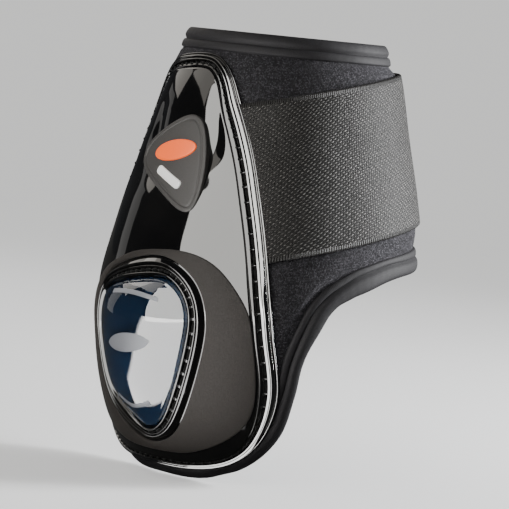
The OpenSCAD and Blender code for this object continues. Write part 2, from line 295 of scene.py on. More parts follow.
class Shader:
    """A material round one Principled shader. Tuples given as values are colours."""

    INPUTS = {
        "color": "Base Color", "rough": "Roughness", "ior": "IOR", "spec": "Specular IOR Level",
        "coat": "Coat Weight", "coat_rough": "Coat Roughness", "sheen": "Sheen Weight",
        "sheen_rough": "Sheen Roughness", "sheen_tint": "Sheen Tint", "normal": "Normal",
        "trans": "Transmission Weight", "emit": "Emission Color", "glow": "Emission Strength"}

    def __init__(self, name):
        self.material = bpy.data.materials.new(name)
        self.material.use_nodes = True
        self.tree = self.material.node_tree
        self.tree.nodes.clear()
        self.out = self.new("ShaderNodeOutputMaterial")
        self.surface = self.new("ShaderNodeBsdfPrincipled")
        self.put(self.out.inputs[0], self.surface.outputs[0])

    def new(self, kind, **settings):
        node = self.tree.nodes.new(kind)
        for key, value in settings.items():
            setattr(node, key, value)
        return node

    def put(self, socket, value):
        if isinstance(value, bpy.types.NodeSocket):
            self.tree.links.new(value, socket)
        elif isinstance(value, tuple):
            socket.default_value = (*value, 1.0)
        else:
            socket.default_value = value

    def math(self, operation, *values):
        node = self.new("ShaderNodeMath", operation=operation)
        for i, value in enumerate((*values, 0.0, 0.0)[:3]):
            self.put(node.inputs[i], value)
        return node.outputs[0]

    def add(self, a, b):
        return self.math("ADD", a, b)

    def sub(self, a, b):
        return self.math("SUBTRACT", a, b)

    def mul(self, a, b):
        return self.math("MULTIPLY", a, b)

    def div(self, a, b):
        return self.math("DIVIDE", a, b)

    def tex(self):
        node = self.new("ShaderNodeAttribute", attribute_type="GEOMETRY", attribute_name="tex")
        return node.outputs["Vector"]

    def split(self, vector):
        node = self.new("ShaderNodeSeparateXYZ")
        self.put(node.inputs[0], vector)
        return node.outputs

    def coord(self):
        return self.new("ShaderNodeTexCoord").outputs["Object"]

    def noise(self, vector, scale, detail=3.0, rough=0.5, distortion=0.0):
        node = self.new("ShaderNodeTexNoise")
        self.put(node.inputs["Vector"], vector)
        node.inputs["Scale"].default_value = scale
        node.inputs["Detail"].default_value = detail
        node.inputs["Roughness"].default_value = rough
        node.inputs["Distortion"].default_value = distortion
        return node.outputs["Fac"]

    def cells(self, vector, scale, output="Distance"):
        node = self.new("ShaderNodeTexVoronoi")
        self.put(node.inputs["Vector"], vector)
        node.inputs["Scale"].default_value = scale
        return node.outputs[output]

    def ramp(self, value, stops):
        node = self.new("ShaderNodeValToRGB")
        self.put(node.inputs[0], value)
        elements = node.color_ramp.elements
        while len(elements) > 1:
            elements.remove(elements[-1])
        elements[0].position = stops[0][0]
        elements[0].color = (*stops[0][1], 1.0)
        for position, color in stops[1:]:
            elements.new(position).color = (*color, 1.0)
        return node.outputs[0]

    def mix(self, share, a, b):
        node = self.new("ShaderNodeMix", data_type="RGBA")
        for i, value in ((0, share), (6, a), (7, b)):
            self.put(node.inputs[i], value)
        return node.outputs[2]

    def remap(self, value, to=(0, 1), over=(0.3, 0.7)):
        """Map the range over to the range to."""
        node = self.new("ShaderNodeMapRange")
        for i, number in enumerate((value, *over, *to)):
            self.put(node.inputs[i], number)
        return node.outputs[0]

    def tint(self, value, a, b, over=(0.3, 0.7), most=1):
        """Colour a turning to b, at most by the share most, as value crosses the range over."""
        return self.mix(self.remap(value, to=(0, most), over=over), a, b)

    def bump(self, height, strength, distance, under=None):
        node = self.new("ShaderNodeBump")
        node.inputs["Strength"].default_value = strength
        node.inputs["Distance"].default_value = distance
        self.put(node.inputs["Height"], height)
        if under is not None:
            self.put(node.inputs["Normal"], under)
        return node.outputs[0]

    def emission(self, color):
        node = self.new("ShaderNodeEmission")
        self.put(node.inputs[0], color)
        return node

    def mix_shader(self, share, a, b):
        node = self.new("ShaderNodeMixShader")
        for i, value in enumerate((share, a.outputs[0], b.outputs[0])):
            self.put(node.inputs[i], value)
        return node

    def finish(self, **values):
        for key, value in values.items():
            self.put(self.surface.inputs[self.INPUTS[key]], value)
        return self.material


# ---------------------------------------------------------------- materials
# Noise and cell scales are per metre on object coordinates and per mm on the tex attribute.
def gloss_plastic(name="tpu_gloss", rough=0.035, ior=1.5, coat=0.35):
    n = Shader(name)
    place = n.coord()
    broad = n.noise(place, scale=38, detail=2, rough=0.45)
    fine = n.noise(place, scale=700, rough=0.6)
    scratch = n.noise(place, scale=240, detail=6, rough=0.7, distortion=1.2)
    color = n.tint(broad, (0.004, 0.004, 0.0042), (0.0072, 0.007, 0.0068), over=(0.35, 0.65))
    scuffed = n.remap(scratch, to=(rough, rough + 0.05), over=(0.5, 0.85))
    return n.finish(color=color, rough=n.add(scuffed, n.mul(fine, 0.012)),
                    normal=n.bump(fine, strength=0.03, distance=0.00003),
                    spec=0.5, coat=coat, coat_rough=0.03, ior=ior)


def matte_patch():
    n = Shader("patch_matte")
    place = n.coord()
    broad = n.noise(place, scale=30)
    grain = n.noise(place, scale=1500, detail=4, rough=0.65)
    cells = n.cells(place, scale=1900)
    color = n.tint(broad, (0.0182, 0.0158, 0.0142), (0.0235, 0.0205, 0.0186))
    color = n.mix(n.mul(grain, 0.5), color, (0.0115, 0.0102, 0.0094))
    normal = n.bump(cells, strength=0.25, distance=0.00012)
    normal = n.bump(grain, strength=0.25, distance=0.0001, under=normal)
    return n.finish(color=color, rough=n.remap(grain, to=(0.55, 0.72)), normal=normal,
                    spec=0.13, sheen=0.02, sheen_rough=0.5)


def plain_rubber(name, color, rough, glow=0.0):
    n = Shader(name)
    place = n.coord()
    grain = n.noise(place, scale=1800, detail=4, rough=0.6)
    broad = n.noise(place, scale=60, detail=2)
    mottled = n.tint(broad, tuple(x * 0.92 for x in color),
                     tuple(min(1, x * 1.08) for x in color))
    # A painted glow: the colour also emits light of its own, so the inlay reads brighter than the
    # lamps make it.
    if glow:
        n.finish(emit=mottled, glow=glow)
    return n.finish(color=mottled, rough=n.remap(grain, to=(rough, rough + 0.14)),
                    normal=n.bump(grain, strength=0.2, distance=0.00008), spec=0.4)


def neoprene_knit():
    """Fine knit whose columns shift by half a stitch each course."""
    column, course = 0.62, 0.56
    n = Shader("neoprene_knit")
    x, y, _ = n.split(n.tex())
    row = n.math("FLOOR", n.div(y, course))
    shift = n.mul(n.math("MODULO", row, 2.0), 0.5)
    across = n.math("FRACT", n.add(n.div(x, column), shift))
    down = n.math("FRACT", n.div(y, course))
    stitch = n.mul(n.math("SINE", n.mul(across, PI)), n.math("SINE", n.mul(down, PI)))
    fuzz = n.noise(n.coord(), scale=2400, rough=0.7)
    painted_sparkle = n.noise(n.coord(), scale=1300, detail=2, rough=0.6)
    broad = n.noise(n.coord(), scale=45)
    speck = n.split(n.cells(n.coord(), scale=2300, output="Color"))[0]
    # Colour is darker between the stitches than on their crowns, painted shade, times random light
    # specks in the yarn.
    light = n.mul(n.remap(stitch, to=(0.35, 1.0), over=(0.1, 0.8)),
                  n.math("POWER", speck, 2.6))
    color = n.mix(light, (0.0095, 0.0092, 0.0108), (0.105, 0.102, 0.114))
    # Scattered lighter spots of the knit are painted sparkle: painted glints.
    color = n.tint(painted_sparkle, color, (0.06, 0.057, 0.06), over=(0.66, 0.76), most=0.5)
    color = n.tint(broad, color, (0.012, 0.011, 0.013), over=(0.35, 0.7), most=0.35)
    normal = n.bump(stitch, strength=0.55, distance=0.00022)
    normal = n.bump(fuzz, strength=0.35, distance=0.00012, under=normal)
    return n.finish(color=color, rough=0.86, normal=normal, spec=0.08, sheen=0.008,
                    sheen_rough=0.45, sheen_tint=(0.7, 0.68, 0.75))


def lycra_binding():
    rib_pitch = 0.55
    n = Shader("lycra_binding")
    x, _, _ = n.split(n.tex())
    rib = n.math("SINE", n.mul(x, 2 * PI / rib_pitch))
    fuzz = n.noise(n.coord(), scale=2600, rough=0.6)
    broad = n.noise(n.coord(), scale=60, rough=0.55)
    color = n.tint(broad, (0.0068, 0.0065, 0.0074), (0.0105, 0.01, 0.0112))
    color = n.tint(fuzz, color, (0.024, 0.0228, 0.0252), over=(0.4, 0.75), most=0.6)
    normal = n.bump(rib, strength=0.15, distance=0.00005)
    normal = n.bump(fuzz, strength=0.25, distance=0.00007, under=normal)
    normal = n.bump(broad, strength=0.15, distance=0.0006, under=normal)
    return n.finish(color=color, rough=0.68, normal=normal, spec=0.12, sheen=0.012,
                    sheen_rough=0.35, sheen_tint=(0.8, 0.78, 0.85))


def brushed_lining():
    n = Shader("lining_brushed")
    cells = n.cells(n.tex(), scale=0.75)
    fuzz = n.noise(n.coord(), scale=1500, detail=4, rough=0.7)
    broad = n.noise(n.coord(), scale=35)
    color = n.tint(fuzz, (0.012, 0.012, 0.014), (0.032, 0.031, 0.034))
    color = n.tint(broad, color, (0.02, 0.02, 0.026), most=0.4)
    normal = n.bump(cells, strength=0.4, distance=0.0002)
    normal = n.bump(fuzz, strength=0.5, distance=0.0003, under=normal)
    return n.finish(color=color, rough=0.92, normal=normal, spec=0.2, sheen=0.1,
                    sheen_rough=0.6)


def elastic_weave():
    """Slanting floats on a slightly uneven lattice, with plain selvedges."""
    column, row, rib_pitch = 0.98, 0.84, 0.8
    selvedge = 26.4     # from the strap's middle line
    n = Shader("elastic_weave")
    vector = n.tex()
    x, y, _ = n.split(vector)
    drift = n.noise(vector, scale=0.09, detail=2)
    nudged_x = n.add(x, n.mul(drift, 0.9))
    nudged_y = n.add(y, n.mul(nudged_x, 0.12))
    columns = n.div(nudged_x, column)
    rows = n.div(nudged_y, row)
    cell = n.add(n.math("FLOOR", columns), n.math("FLOOR", rows))
    parity = n.math("ABSOLUTE", n.math("MODULO", cell, 2.0))
    # place in the cell, turned and stretched so that each float is a slanting oval
    cell_x = n.sub(n.math("FRACT", columns), 0.5)
    cell_y = n.sub(n.math("FRACT", rows), 0.5)
    long_way = n.add(n.mul(cell_x, 0.86), n.mul(cell_y, -0.62))
    short_way = n.add(n.mul(cell_x, 0.78), n.mul(cell_y, 1.05))
    oval = n.add(n.math("POWER", n.mul(long_way, 1.35), 2.0),
                 n.math("POWER", n.mul(short_way, 2.1), 2.0))
    grain = n.math("MAXIMUM", n.sub(1.0, oval), 0.0)
    # Each float's brightness is painted light: alternate cells and random sparkle make some floats
    # brighter than others.
    painted_sparkle = n.noise(vector, scale=0.8, detail=2, rough=0.6)
    lit = n.mul(n.remap(parity, to=(0.22, 1.0), over=(0, 1)), n.remap(painted_sparkle, to=(0.4, 1.25)))
    floats = n.mul(grain, lit)
    edge = n.math("GREATER_THAN", n.math("ABSOLUTE", y), selvedge)
    ribs = n.mul(n.add(n.math("SINE", n.mul(x, 2 * PI / rib_pitch)), 1.0), 0.3)
    relief = n.add(n.mul(floats, n.sub(1.0, edge)), n.mul(ribs, edge))
    fuzz = n.noise(n.coord(), scale=2600, rough=0.65)
    broad = n.noise(n.coord(), scale=40)
    # Colour follows the relief: near-black in the gaps between floats, painted shade, and light
    # grey on the float tops, painted highlight.
    color = n.ramp(relief, stops=[(0.0, (0.0012, 0.0011, 0.001)),
                                  (0.3, (0.008, 0.0076, 0.0072)),
                                  (0.92, (0.27, 0.258, 0.245))])
    # The selvedge ribs are darker in their grooves: painted shade.
    plain = n.mix(ribs, (0.007, 0.0067, 0.0064), (0.024, 0.0228, 0.0215))
    color = n.mix(edge, color, plain)
    color = n.tint(fuzz, color, (0.03, 0.0285, 0.027), over=(0.5, 0.85), most=0.25)
    color = n.tint(broad, color, (0.009, 0.0078, 0.007), most=0.3)
    normal = n.bump(relief, strength=1.0, distance=0.0006)
    normal = n.bump(fuzz, strength=0.2, distance=0.00008, under=normal)
    return n.finish(color=color, rough=0.6, normal=normal, spec=0.16, sheen=0.004,
                    sheen_rough=0.4)


def thread(name, dark, light, rough, spec):
    n = Shader(name)
    twist = n.noise(n.coord(), scale=2600, detail=2, rough=0.6)
    return n.finish(color=n.tint(twist, grey(dark), grey(light)), rough=rough,
                    normal=n.bump(twist, strength=0.4, distance=0.0001), spec=spec, sheen=0.1)


def fuzzy_tape(name, dark, light, scale, relief):
    n = Shader(name)
    place = n.coord()
    tufts = n.cells(place, scale=scale)
    fuzz = n.noise(place, scale=scale * 1.6, detail=4, rough=0.75)
    color = n.tint(fuzz, grey(dark), grey(light))
    normal = n.bump(tufts, strength=0.7, distance=relief)
    normal = n.bump(fuzz, strength=0.6, distance=relief, under=normal)
    return n.finish(color=color, rough=0.9, normal=normal, spec=0.12, sheen=0.05)


def clear_plastic():
    n = Shader("clear_dome")
    place = n.coord()
    broad = n.noise(place, scale=60, detail=2, rough=0.4)
    fine = n.noise(place, scale=500, rough=0.6)
    return n.finish(color=(0.93, 0.96, 1.0), trans=1.0, ior=1.46,
                    rough=n.remap(fine, to=(0.0, 0.03), over=(0.4, 0.8)),
                    normal=n.bump(broad, strength=0.08, distance=0.0004),
                    coat=1.0, coat_rough=0.015)


def navy_film():
    n = Shader("navy_backing")
    place = n.coord()
    broad = n.noise(place, scale=25)
    fine = n.noise(place, scale=1200, rough=0.6)
    return n.finish(color=n.tint(broad, (0.002, 0.0056, 0.0125), (0.0036, 0.0105, 0.0245)),
                    rough=n.remap(fine, to=(0.75, 0.85)), spec=0.0,
                    normal=n.bump(fine, strength=0.08, distance=0.00005))


BACKDROP = (0.80, 0.80, 0.79)


def floor_sweep():
    """Pale for the camera, dark for diffuse light, and a bright card for reflections."""
    n = Shader("floor_pale")
    place = n.coord()
    broad = n.noise(place, scale=3, detail=2)
    n.finish(color=n.tint(broad, grey(0.50), grey(0.52)), rough=0.9, spec=0.1)
    length = n.new("ShaderNodeVectorMath", operation="LENGTH")
    n.put(length.inputs[0], place)
    distance = length.outputs["Value"]
    far = n.remap(distance, over=(0.15, 1.3))
    lit = n.new("ShaderNodeAddShader")
    n.put(lit.inputs[0], n.surface.outputs[0])
    n.put(lit.inputs[1], n.emission(n.mix(far, grey(0.40), BACKDROP)).outputs[0])
    seen = n.mix_shader(far, lit, n.emission(BACKDROP))
    dull = n.new("ShaderNodeBsdfDiffuse")
    n.put(dull.inputs[0], grey(0.10))
    # the card is a sector of the floor, with soft borders in azimuth and in distance
    x, y, _ = n.split(place)
    azimuth = n.math("ARCTAN2", x, n.mul(y, -1.0))
    inside = n.mul(n.remap(azimuth, over=(math.radians(-18), math.radians(-14))),
                   n.remap(azimuth, to=(1, 0), over=(math.radians(38), math.radians(44))))
    inside = n.mul(inside, n.remap(distance, to=(1, 0), over=(2.6, 3.4)))
    inside = n.mul(inside, n.remap(distance, over=(0.077, 0.081)))
    card = n.emission((1.0, 0.99, 0.97))
    n.put(card.inputs[1], n.add(n.mul(inside, 12.5), 0.05))
    rays = n.new("ShaderNodeLightPath").outputs
    unseen = n.mix_shader(rays["Is Glossy Ray"], dull, card)
    final = n.mix_shader(rays["Is Camera Ray"], unseen, seen)
    n.put(n.out.inputs[0], final.outputs[0])
    return n.material


# look: (material, frame slot)
LOOKS = {
    "gloss": (gloss_plastic(), "shell_tpu"),
    "rim": (gloss_plastic("tpu_gloss_rim", rough=0.04, ior=1.85, coat=1.0), "shell_tpu"),
    "patch": (matte_patch(), "matte_patch"),
    "badge": (plain_rubber("badge_rubber", (0.0115, 0.0103, 0.0096), rough=0.58),
              "badge_rubber"),
    # The orange and white inlays get a painted glow: they emit light though they are no lamps.
    "orange": (plain_rubber("badge_orange", (0.98, 0.115, 0.004), rough=0.45, glow=0.62),
               "badge_orange"),
    "white": (plain_rubber("badge_white", (0.9, 0.9, 0.88), rough=0.42, glow=0.35),
              "badge_white"),
    "neoprene": (neoprene_knit(), "neoprene"),
    "lycra": (lycra_binding(), "lycra"),
    "lining": (brushed_lining(), "lining"),
    "elastic": (elastic_weave(), "elastic"),
    "thread": (thread("thread_grey", dark=0.02, light=0.16, rough=0.45, spec=0.5), "thread"),
    "dark_thread": (thread("thread_black", dark=0.002, light=0.008, rough=0.85, spec=0.06),
                    "thread"),
    "clear": (clear_plastic(), "clear_dome"),
    "navy": (navy_film(), "navy_backing"),
    "print": (plain_rubber("print_grey", (0.27, 0.28, 0.31), rough=0.4), "print_grey"),
    "hook": (fuzzy_tape("hook_tape", dark=0.006, light=0.03, scale=1100, relief=0.0003),
             "hook"),
    "loop": (fuzzy_tape("loop_tape", dark=0.01, light=0.035, scale=650, relief=0.0006),
             "loop"),
    "tab": (plain_rubber("tab_rubber", (0.010, 0.010, 0.011), rough=0.62), "tab"),
}


# ---------------------------------------------------------------- mesh building
def add_piece(name, mesh, look):
    piece = bpy.data.objects.new(name, mesh)
    bpy.context.scene.collection.objects.link(piece)
    material, slot = LOOKS[look]
    mesh.materials.append(material)
    return piece


def build(name, look, parts, sharp=40):
    """Weld grids into one piece. Each part is (points, tex, rows close, columns close)."""
    mesh = bpy.data.meshes.new(name)
    bm = bmesh.new()
    layer = bm.verts.layers.float_vector.new("tex")
    for points, tex, close_rows, close_cols in parts:
        rows, cols = points.shape[:2]
        grid = []
        for i in range(rows):
            grid.append([bm.verts.new(point) for point in points[i]])
            for vert, value in zip(grid[i], tex[i]):
                vert[layer] = value
        for i in range(rows if close_rows else rows - 1):
            this, following = grid[i], grid[(i + 1) % rows]
            for j in range(cols if close_cols else cols - 1):
                j_next = (j + 1) % cols
                bm.faces.new((this[j], this[j_next], following[j_next], following[j]))
    bmesh.ops.remove_doubles(bm, verts=bm.verts, dist=2e-6)
    bmesh.ops.dissolve_degenerate(bm, edges=bm.edges, dist=1e-7)
    bmesh.ops.recalc_face_normals(bm, faces=bm.faces)
    for face in bm.faces:
        face.smooth = True
    limit = math.radians(sharp)
    for edge in bm.edges:
        if len(edge.link_faces) == 2 and edge.calc_face_angle(0) > limit:
            edge.smooth = False
    bm.to_mesh(mesh)
    bm.free()
    return add_piece(name, mesh, look)


def fix(piece, body, *replaced):
    """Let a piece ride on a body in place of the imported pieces."""
    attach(piece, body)
    if replaced:
        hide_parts(*replaced)


def plate(name, look, outline, profile, spine, crown, base, inner, sharp=40):
    """A closed plate on the wrap. profile is (inset, height) from the edge in; then inner rows
    close on spine(last row), at heights crown(row, share). base is the underside's height."""
    rows = [inset(outline, distance) for distance, _ in profile]
    heights = [height for _, height in profile]
    last = rows[-1]
    middle = spine(last)
    for k in range(1, inner + 1):
        share = k / inner
        rows.append(last * (1 - share) + middle * share)
        heights.append(crown(rows[-1], share))
    heights = [np.broadcast_to(height, len(outline)) for height in heights]
    under = np.array([rows[0]] + [last * (1 - t) + middle * t for t in (0, 0.5, 1)])
    under_height = np.broadcast_to(base(under) if callable(base) else base, under.shape[:-1])
    points, tex = lay(np.vstack([under[::-1], np.array(rows)]),
                      np.vstack([under_height[::-1], np.array(heights)]))
    return build(name, look, [(points, tex, False, True)], sharp)


def upright_spine(top, bottom):
    """An upright line on the chart's middle for a plate's rows to close on."""
    def spine(row):
        depth = row[:, 1]
        share = (depth - depth.min()) / (depth.max() - depth.min())
        return np.stack([np.zeros(len(row)), top + (bottom - top) * np.clip(share, 0, 1)], 1)
    return spine


def ring(name, look, outer, inner, section, base, sharp=40):
    """A closed ring on the shell's face.
    section: share from outer to inner line, extra inset, height above the face."""
    outer_normal, inner_normal = normals(outer), normals(inner)
    rows, heights = [], []
    for share, extra, height in section:
        normal = outer_normal * (1 - share) + inner_normal * share
        rows.append(outer * (1 - share) + inner * share + normal * extra)
        heights.append(height + face_height(rows[-1]))
    under = np.array([rows[-1], (rows[-1] + rows[0]) / 2, rows[0]])
    points, tex = lay(np.vstack([np.array(rows), under]),
                      np.vstack([np.array(heights), base + face_height(under)]))
    return build(name, look, [(points, tex, True, True)], sharp)


def sheet(name, look, outer, inner, sharp):
    """A closed slab between two grids, each given as (points, tex)."""
    pairs = list(zip(outer, inner))
    parts = [(*(np.concatenate([a, b[::-1]], 0) for a, b in pairs), True, False)]
    for col in (0, -1):
        parts.append((*(np.stack([a[:, col], b[:, col]], 1) for a, b in pairs), False, False))
    return build(name, look, parts, sharp)


def stitches(name, look, line, centres, lengths, height, radius=0.42, closed=True):
    """Rounded thread stitches along a chart line; height is a number or a function of place."""
    sides, steps = 8, 8
    path = close(line) if closed else line
    run = run_length(path)

    def at(distance):
        return np.array([np.interp(distance, run, path[:, k]) for k in (0, 1)])

    mesh = bpy.data.meshes.new(name)
    bm = bmesh.new()
    layer = bm.verts.layers.float_vector.new("tex")
    for centre, length in zip(centres, lengths):
        rows = []
        for i in range(steps + 1):
            angle = PI * i / steps
            run_at = centre - length / 2 * math.cos(angle)
            distance = run_at % run[-1] if closed else run_at
            place = at(distance)
            ahead = min(distance + 0.05, run[-1])
            along = at(ahead) - at(ahead - 0.05)
            along /= np.linalg.norm(along) + 1e-9
            side = np.array([-along[1], along[0]])
            is_end = i in (0, steps)
            girth = 0.0 if is_end else radius * math.sin(angle) ** 0.5
            ground = height(place) if callable(height) else height
            lift = ground + radius * 0.8 * math.sin(angle) ** 0.7 - 0.35 * radius
            row = []
            for j in range(1 if is_end else sides):
                turn = 2 * PI * j / sides
                aside, up = girth * math.cos(turn), girth * math.sin(turn)
                azimuth, depth = to_polar(place + side * aside)
                vert = bm.verts.new(wrap_point(azimuth, depth, lift + up))
                vert[layer] = (run_at, aside, up)
                row.append(vert)
            rows.append(row)
        for this, following in zip(rows, rows[1:]):
            for j in range(sides):
                k = (j + 1) % sides
                if len(this) == 1:
                    bm.faces.new((this[0], following[j], following[k]))
                elif len(following) == 1:
                    bm.faces.new((this[j], following[0], this[k]))
                else:
                    bm.faces.new((this[j], following[j], following[k], this[k]))
    bmesh.ops.recalc_face_normals(bm, faces=bm.faces)
    for face in bm.faces:
        face.smooth = True
    bm.to_mesh(mesh)
    bm.free()
    return add_piece(name, mesh, look)


# ---------------------------------------------------------------- outlines: azimuth, depth
SHELL = [
    [1, 8.9], [9, 9.6], [15.6, 12.6], [21, 17.5], [25.6, 24.2], [29.4, 30], [36.2, 43.5],
    [40.3, 56], [43.7, 69], [46.6, 84], [49, 98], [51.4, 111], [53.6, 121], [54.4, 128.5],
    [53.4, 136.5], [50.4, 144.2], [45.6, 150.2], [38.4, 154.6], [28, 157.4], [13, 158.6],
    [0, 158.6], [-13, 158.6], [-28, 157.4], [-38.4, 154.6], [-45.6, 150.2], [-50.4, 144.2],
    [-53.4, 136.5], [-54.4, 128.5], [-54.1, 121], [-53.5, 111], [-52.7, 98], [-51.8, 84],
    [-50.5, 69], [-48.5, 56], [-46, 43.5], [-42.4, 30.6], [-38.2, 21], [-33.2, 15],
    [-25.8, 11.6], [-17, 10.1], [-8, 9.3]]
PATCH = [
    [5, 80.9], [14, 80.2], [22, 81.2], [30, 85.1], [37.8, 93.3], [41.9, 100.7], [44.1, 110.8],
    [45.8, 121.5], [46.2, 129.5], [44.2, 137.6], [37.6, 144.4], [28.5, 149.2], [19.6, 151.7],
    [9.7, 152.5], [-4, 152.7], [-18, 151.4], [-30, 147.6], [-39, 141.5], [-44, 133.5],
    [-45, 124], [-43.4, 113.5], [-39.6, 105], [-33.6, 97.8], [-25.5, 91.4], [-16, 86.9],
    [-5, 82.8]]
BEZEL = [
    [6, 83.6], [12.5, 84.6], [19.7, 88.7], [24.3, 94.6], [26.6, 102], [26.9, 108.4],
    [25.6, 117.5], [22.9, 128.7], [18.7, 139.2], [14, 145.3], [7.6, 148.6], [1, 149.2],
    [-6, 147.6], [-13, 144.2], [-19.5, 138.6], [-23.6, 129.5], [-26.4, 118.5], [-27.6, 108],
    [-26, 99], [-20.9, 92.5], [-11.5, 88], [-2.5, 85]]
DOME = [
    [7.5, 90.4], [12.4, 90.8], [17.2, 94], [20.4, 99.4], [21.3, 105.5], [20.4, 112.4],
    [18.5, 121.4], [15.2, 131.9], [11.6, 139.2], [7.4, 143.2], [2.6, 144.3], [-3.2, 141.6],
    [-9.6, 137.9], [-15.6, 133.4], [-19.4, 125.5], [-21.8, 115], [-22.4, 106.5],
    [-20.6, 99.6], [-16, 96], [-8, 93.2], [0, 91.5]]
BADGE = [
    [5.7, 32.1], [11.2, 34.2], [14.3, 38.9], [16.6, 46], [17.5, 54], [17.2, 60], [15.1, 65.6],
    [11, 66.4], [2.5, 62.6], [-9, 57], [-18.2, 51.4], [-19, 46.2], [-13, 40.4], [-4, 35.2]]


def outline_of(stations, count):
    return curve(to_chart(stations), count, closed=True)


def evened(line, count=640):
    """Even samples, so that the lines of the patch, bezel and dome pair up."""
    return resample(close(line), count, closed=True)


shell_line = outline_of(SHELL, 1100)
patch_line = evened(outline_of(PATCH, 420))
bezel_line = evened(outline_of(BEZEL, 360))
dome_line = evened(outline_of(DOME, 320))
badge_line = facing_in(outline_of(BADGE, 260))

# ---------------------------------------------------------------- shell face
FACE = 2.1          # shell face above the neoprene
RIM_FLOOR = 0.8     # level from which the rim's ribs rise
PANEL_INSET = 7.5   # full width of the rim
STITCH_INSET = 4.65
HOLE_INSET = 5.42


def rim_scale(depth):
    """The rim narrows near the top and more so near the bottom."""
    return 1 - 0.2 * (1 - ease(9, 30, depth)) - 0.55 * ease(126, 156, depth)


shell_depth = shell_line[:, 1]
rim_widths = rim_scale(shell_depth)
panel_edge = inset(shell_line, PANEL_INSET * rim_widths)
panel_side = panel_edge[panel_edge[:, 0] > 0]
panel_side = panel_side[np.argsort(panel_side[:, 1])]


def face_height(chart):
    """The moulded face: a moat beside the badge, a low ridge below it, flat by the window."""
    depth = chart[..., 1]
    aside = np.abs(chart[..., 0])
    half_width = np.interp(depth, panel_side[:, 1], panel_side[:, 0])
    rounded = 14 + 2.2 * np.logaddexp(0, (aside - 14) / 2.2)
    pitch = 0.10 - 0.17 * ease(44, 64, depth)
    pitch = pitch * ease(14, 30, depth) * (1 - ease(76, 99, depth))
    moat = np.exp(-((aside - 15.5) / 3.6) ** 2) * ease(24, 31, depth)
    moat = moat * (1 - ease(38, 52, depth))
    return FACE - pitch * np.maximum(half_width - rounded, 0) - 0.8 * moat


def rib(start, end, foot, top, lean, steps=5):
    """Section of a moulded rib: steep flanks, a barely rounded top leaning to the panel."""
    width = end - start
    fall = (width - 0.16) * np.tan(np.radians(lean))

    def top_at(share):
        return top - fall * share - 0.035 * width * (2 * share - 1) ** 2

    rows = [(start, foot), (start + 0.02, top_at(0) * 0.55 + foot * 0.45),
            (start + 0.05, top_at(0) - 0.05)]
    for i in range(steps + 1):
        rows.append((start + 0.1 + (width - 0.2) * i / steps, top_at(i / steps)))
    return rows + [(end - 0.05, top_at(1) - 0.05),
                   (end - 0.02, top_at(1) * 0.55 + foot * 0.45), (end, foot)]


# inset, height of each row of the rim's section
RIM_LIP = [
    (0.0, 0.35), (0.0, 1.0), (0.05, 1.24), (0.12, 1.36), (0.22, 1.42), (0.4, 1.41),
    (0.62, 1.36), (0.74, 1.28), (0.8, 1.1), (0.86, 0.8), (1.1, 0.7), (1.36, 0.72), (1.46, 0.8)]
STITCH_CHANNEL = [(4.1, 0.75), (4.3, 0.62), (4.65, 0.56), (5.0, 0.62), (5.2, 0.85)]
INNER_STEP = [
    (5.3, 1.55), (5.36, 1.82), (5.46, 1.92), (5.7, 1.96), (6.0, 1.98), (6.5, 2.0),
    (6.82, 1.96), (6.92, 1.66), (7.04, 1.55), (7.14, 1.66), (7.24, 1.95),
    (7.34, FACE - 0.04), (PANEL_INSET, FACE)]


def rim_section():
    depth = shell_depth
    # how far the rib tops lean, in degrees; the outer rib straightens beside the window
    lean = 1.0 + 9.0 * ease(22, 60, depth) + 7.0 * ease(60, 90, depth)
    lean = lean + 5.0 * ease(100, 145, depth)
    outer_lean = lean * (1 - ease(78, 92, depth) * (1 - ease(140, 150, depth)))
    outer_lean = outer_lean - 6 * ease(84, 96, depth) * (1 - ease(136, 144, depth))
    ribs = rib(1.5, 2.95, foot=0.85, top=2.45, lean=outer_lean) + [(3.02, 0.8)]
    ribs += rib(3.08, 4.0, foot=0.85, top=2.5, lean=lean)
    # the ribs are lower on the -X side
    share = 1 - 0.3 * ease(6, 22, -shell_line[:, 0]) * (1 - ease(120, 140, depth))
    rows = []
    for distance, height in RIM_LIP + ribs + STITCH_CHANNEL:
        if distance > 1.4:
            height = RIM_FLOOR + (height - RIM_FLOOR) * share
        rows.append((distance * rim_widths, height))
    return rows + [(distance * rim_widths, height) for distance, height in INNER_STEP]


def panel_height(row, _share):
    """The panel inside the rim: it leaves the rim's level for the moulded face."""
    across, depth = row[:, 0], row[:, 1]
    inside = distance_to(row, close(panel_edge))
    settle = 1 - np.exp(-(inside / 2.2) ** 1.5)
    crown = 1.5 * (1 - np.exp(-(inside / 7.5) ** 1.25)) * (1 - ease(24, 50, depth))
    shoulder = 0.45 * (1 - np.exp(-(inside / 2.5) ** 1.2)) * ease(30, 60, depth)
    wave = 0.10 * wobble(across, depth, seed=0.9, scale=17)
    wave = wave + 0.025 * wobble(across, depth, seed=2.2, scale=7)
    return (FACE + (face_height(row) - FACE + wave) * settle + crown
            + shoulder * (1 - ease(60, 86, depth)))


def gloss_rim(shell):
    """Give the glossier material to the rim's faces, except high up and on the -X side."""
    shell.data.materials.append(LOOKS["rim"][0])
    tex = np.zeros(len(shell.data.vertices) * 3)
    shell.data.attributes["tex"].data.foreach_get("vector", tex)
    across, depth, height = tex.reshape(-1, 3).T
    wanted = (height > 0.3) & ((across > -14) | (depth > 135)) & (depth > 16.5)
    on_rim = np.zeros(len(depth), bool)
    places = np.stack([across[wanted], depth[wanted]], 1)
    on_rim[wanted] = distance_to(places, close(shell_line)) < 5.2 * rim_scale(depth[wanted])
    for face in shell.data.polygons:
        if all(on_rim[vertex] for vertex in face.vertices):
            face.material_index = 1


shell = plate("outer_shell_body", "gloss", shell_line, rim_section(), upright_spine(40, 128),
              panel_height, base=0.15, inner=56, sharp=50)
gloss_rim(shell)
fix(shell, "core", "outer_shell")


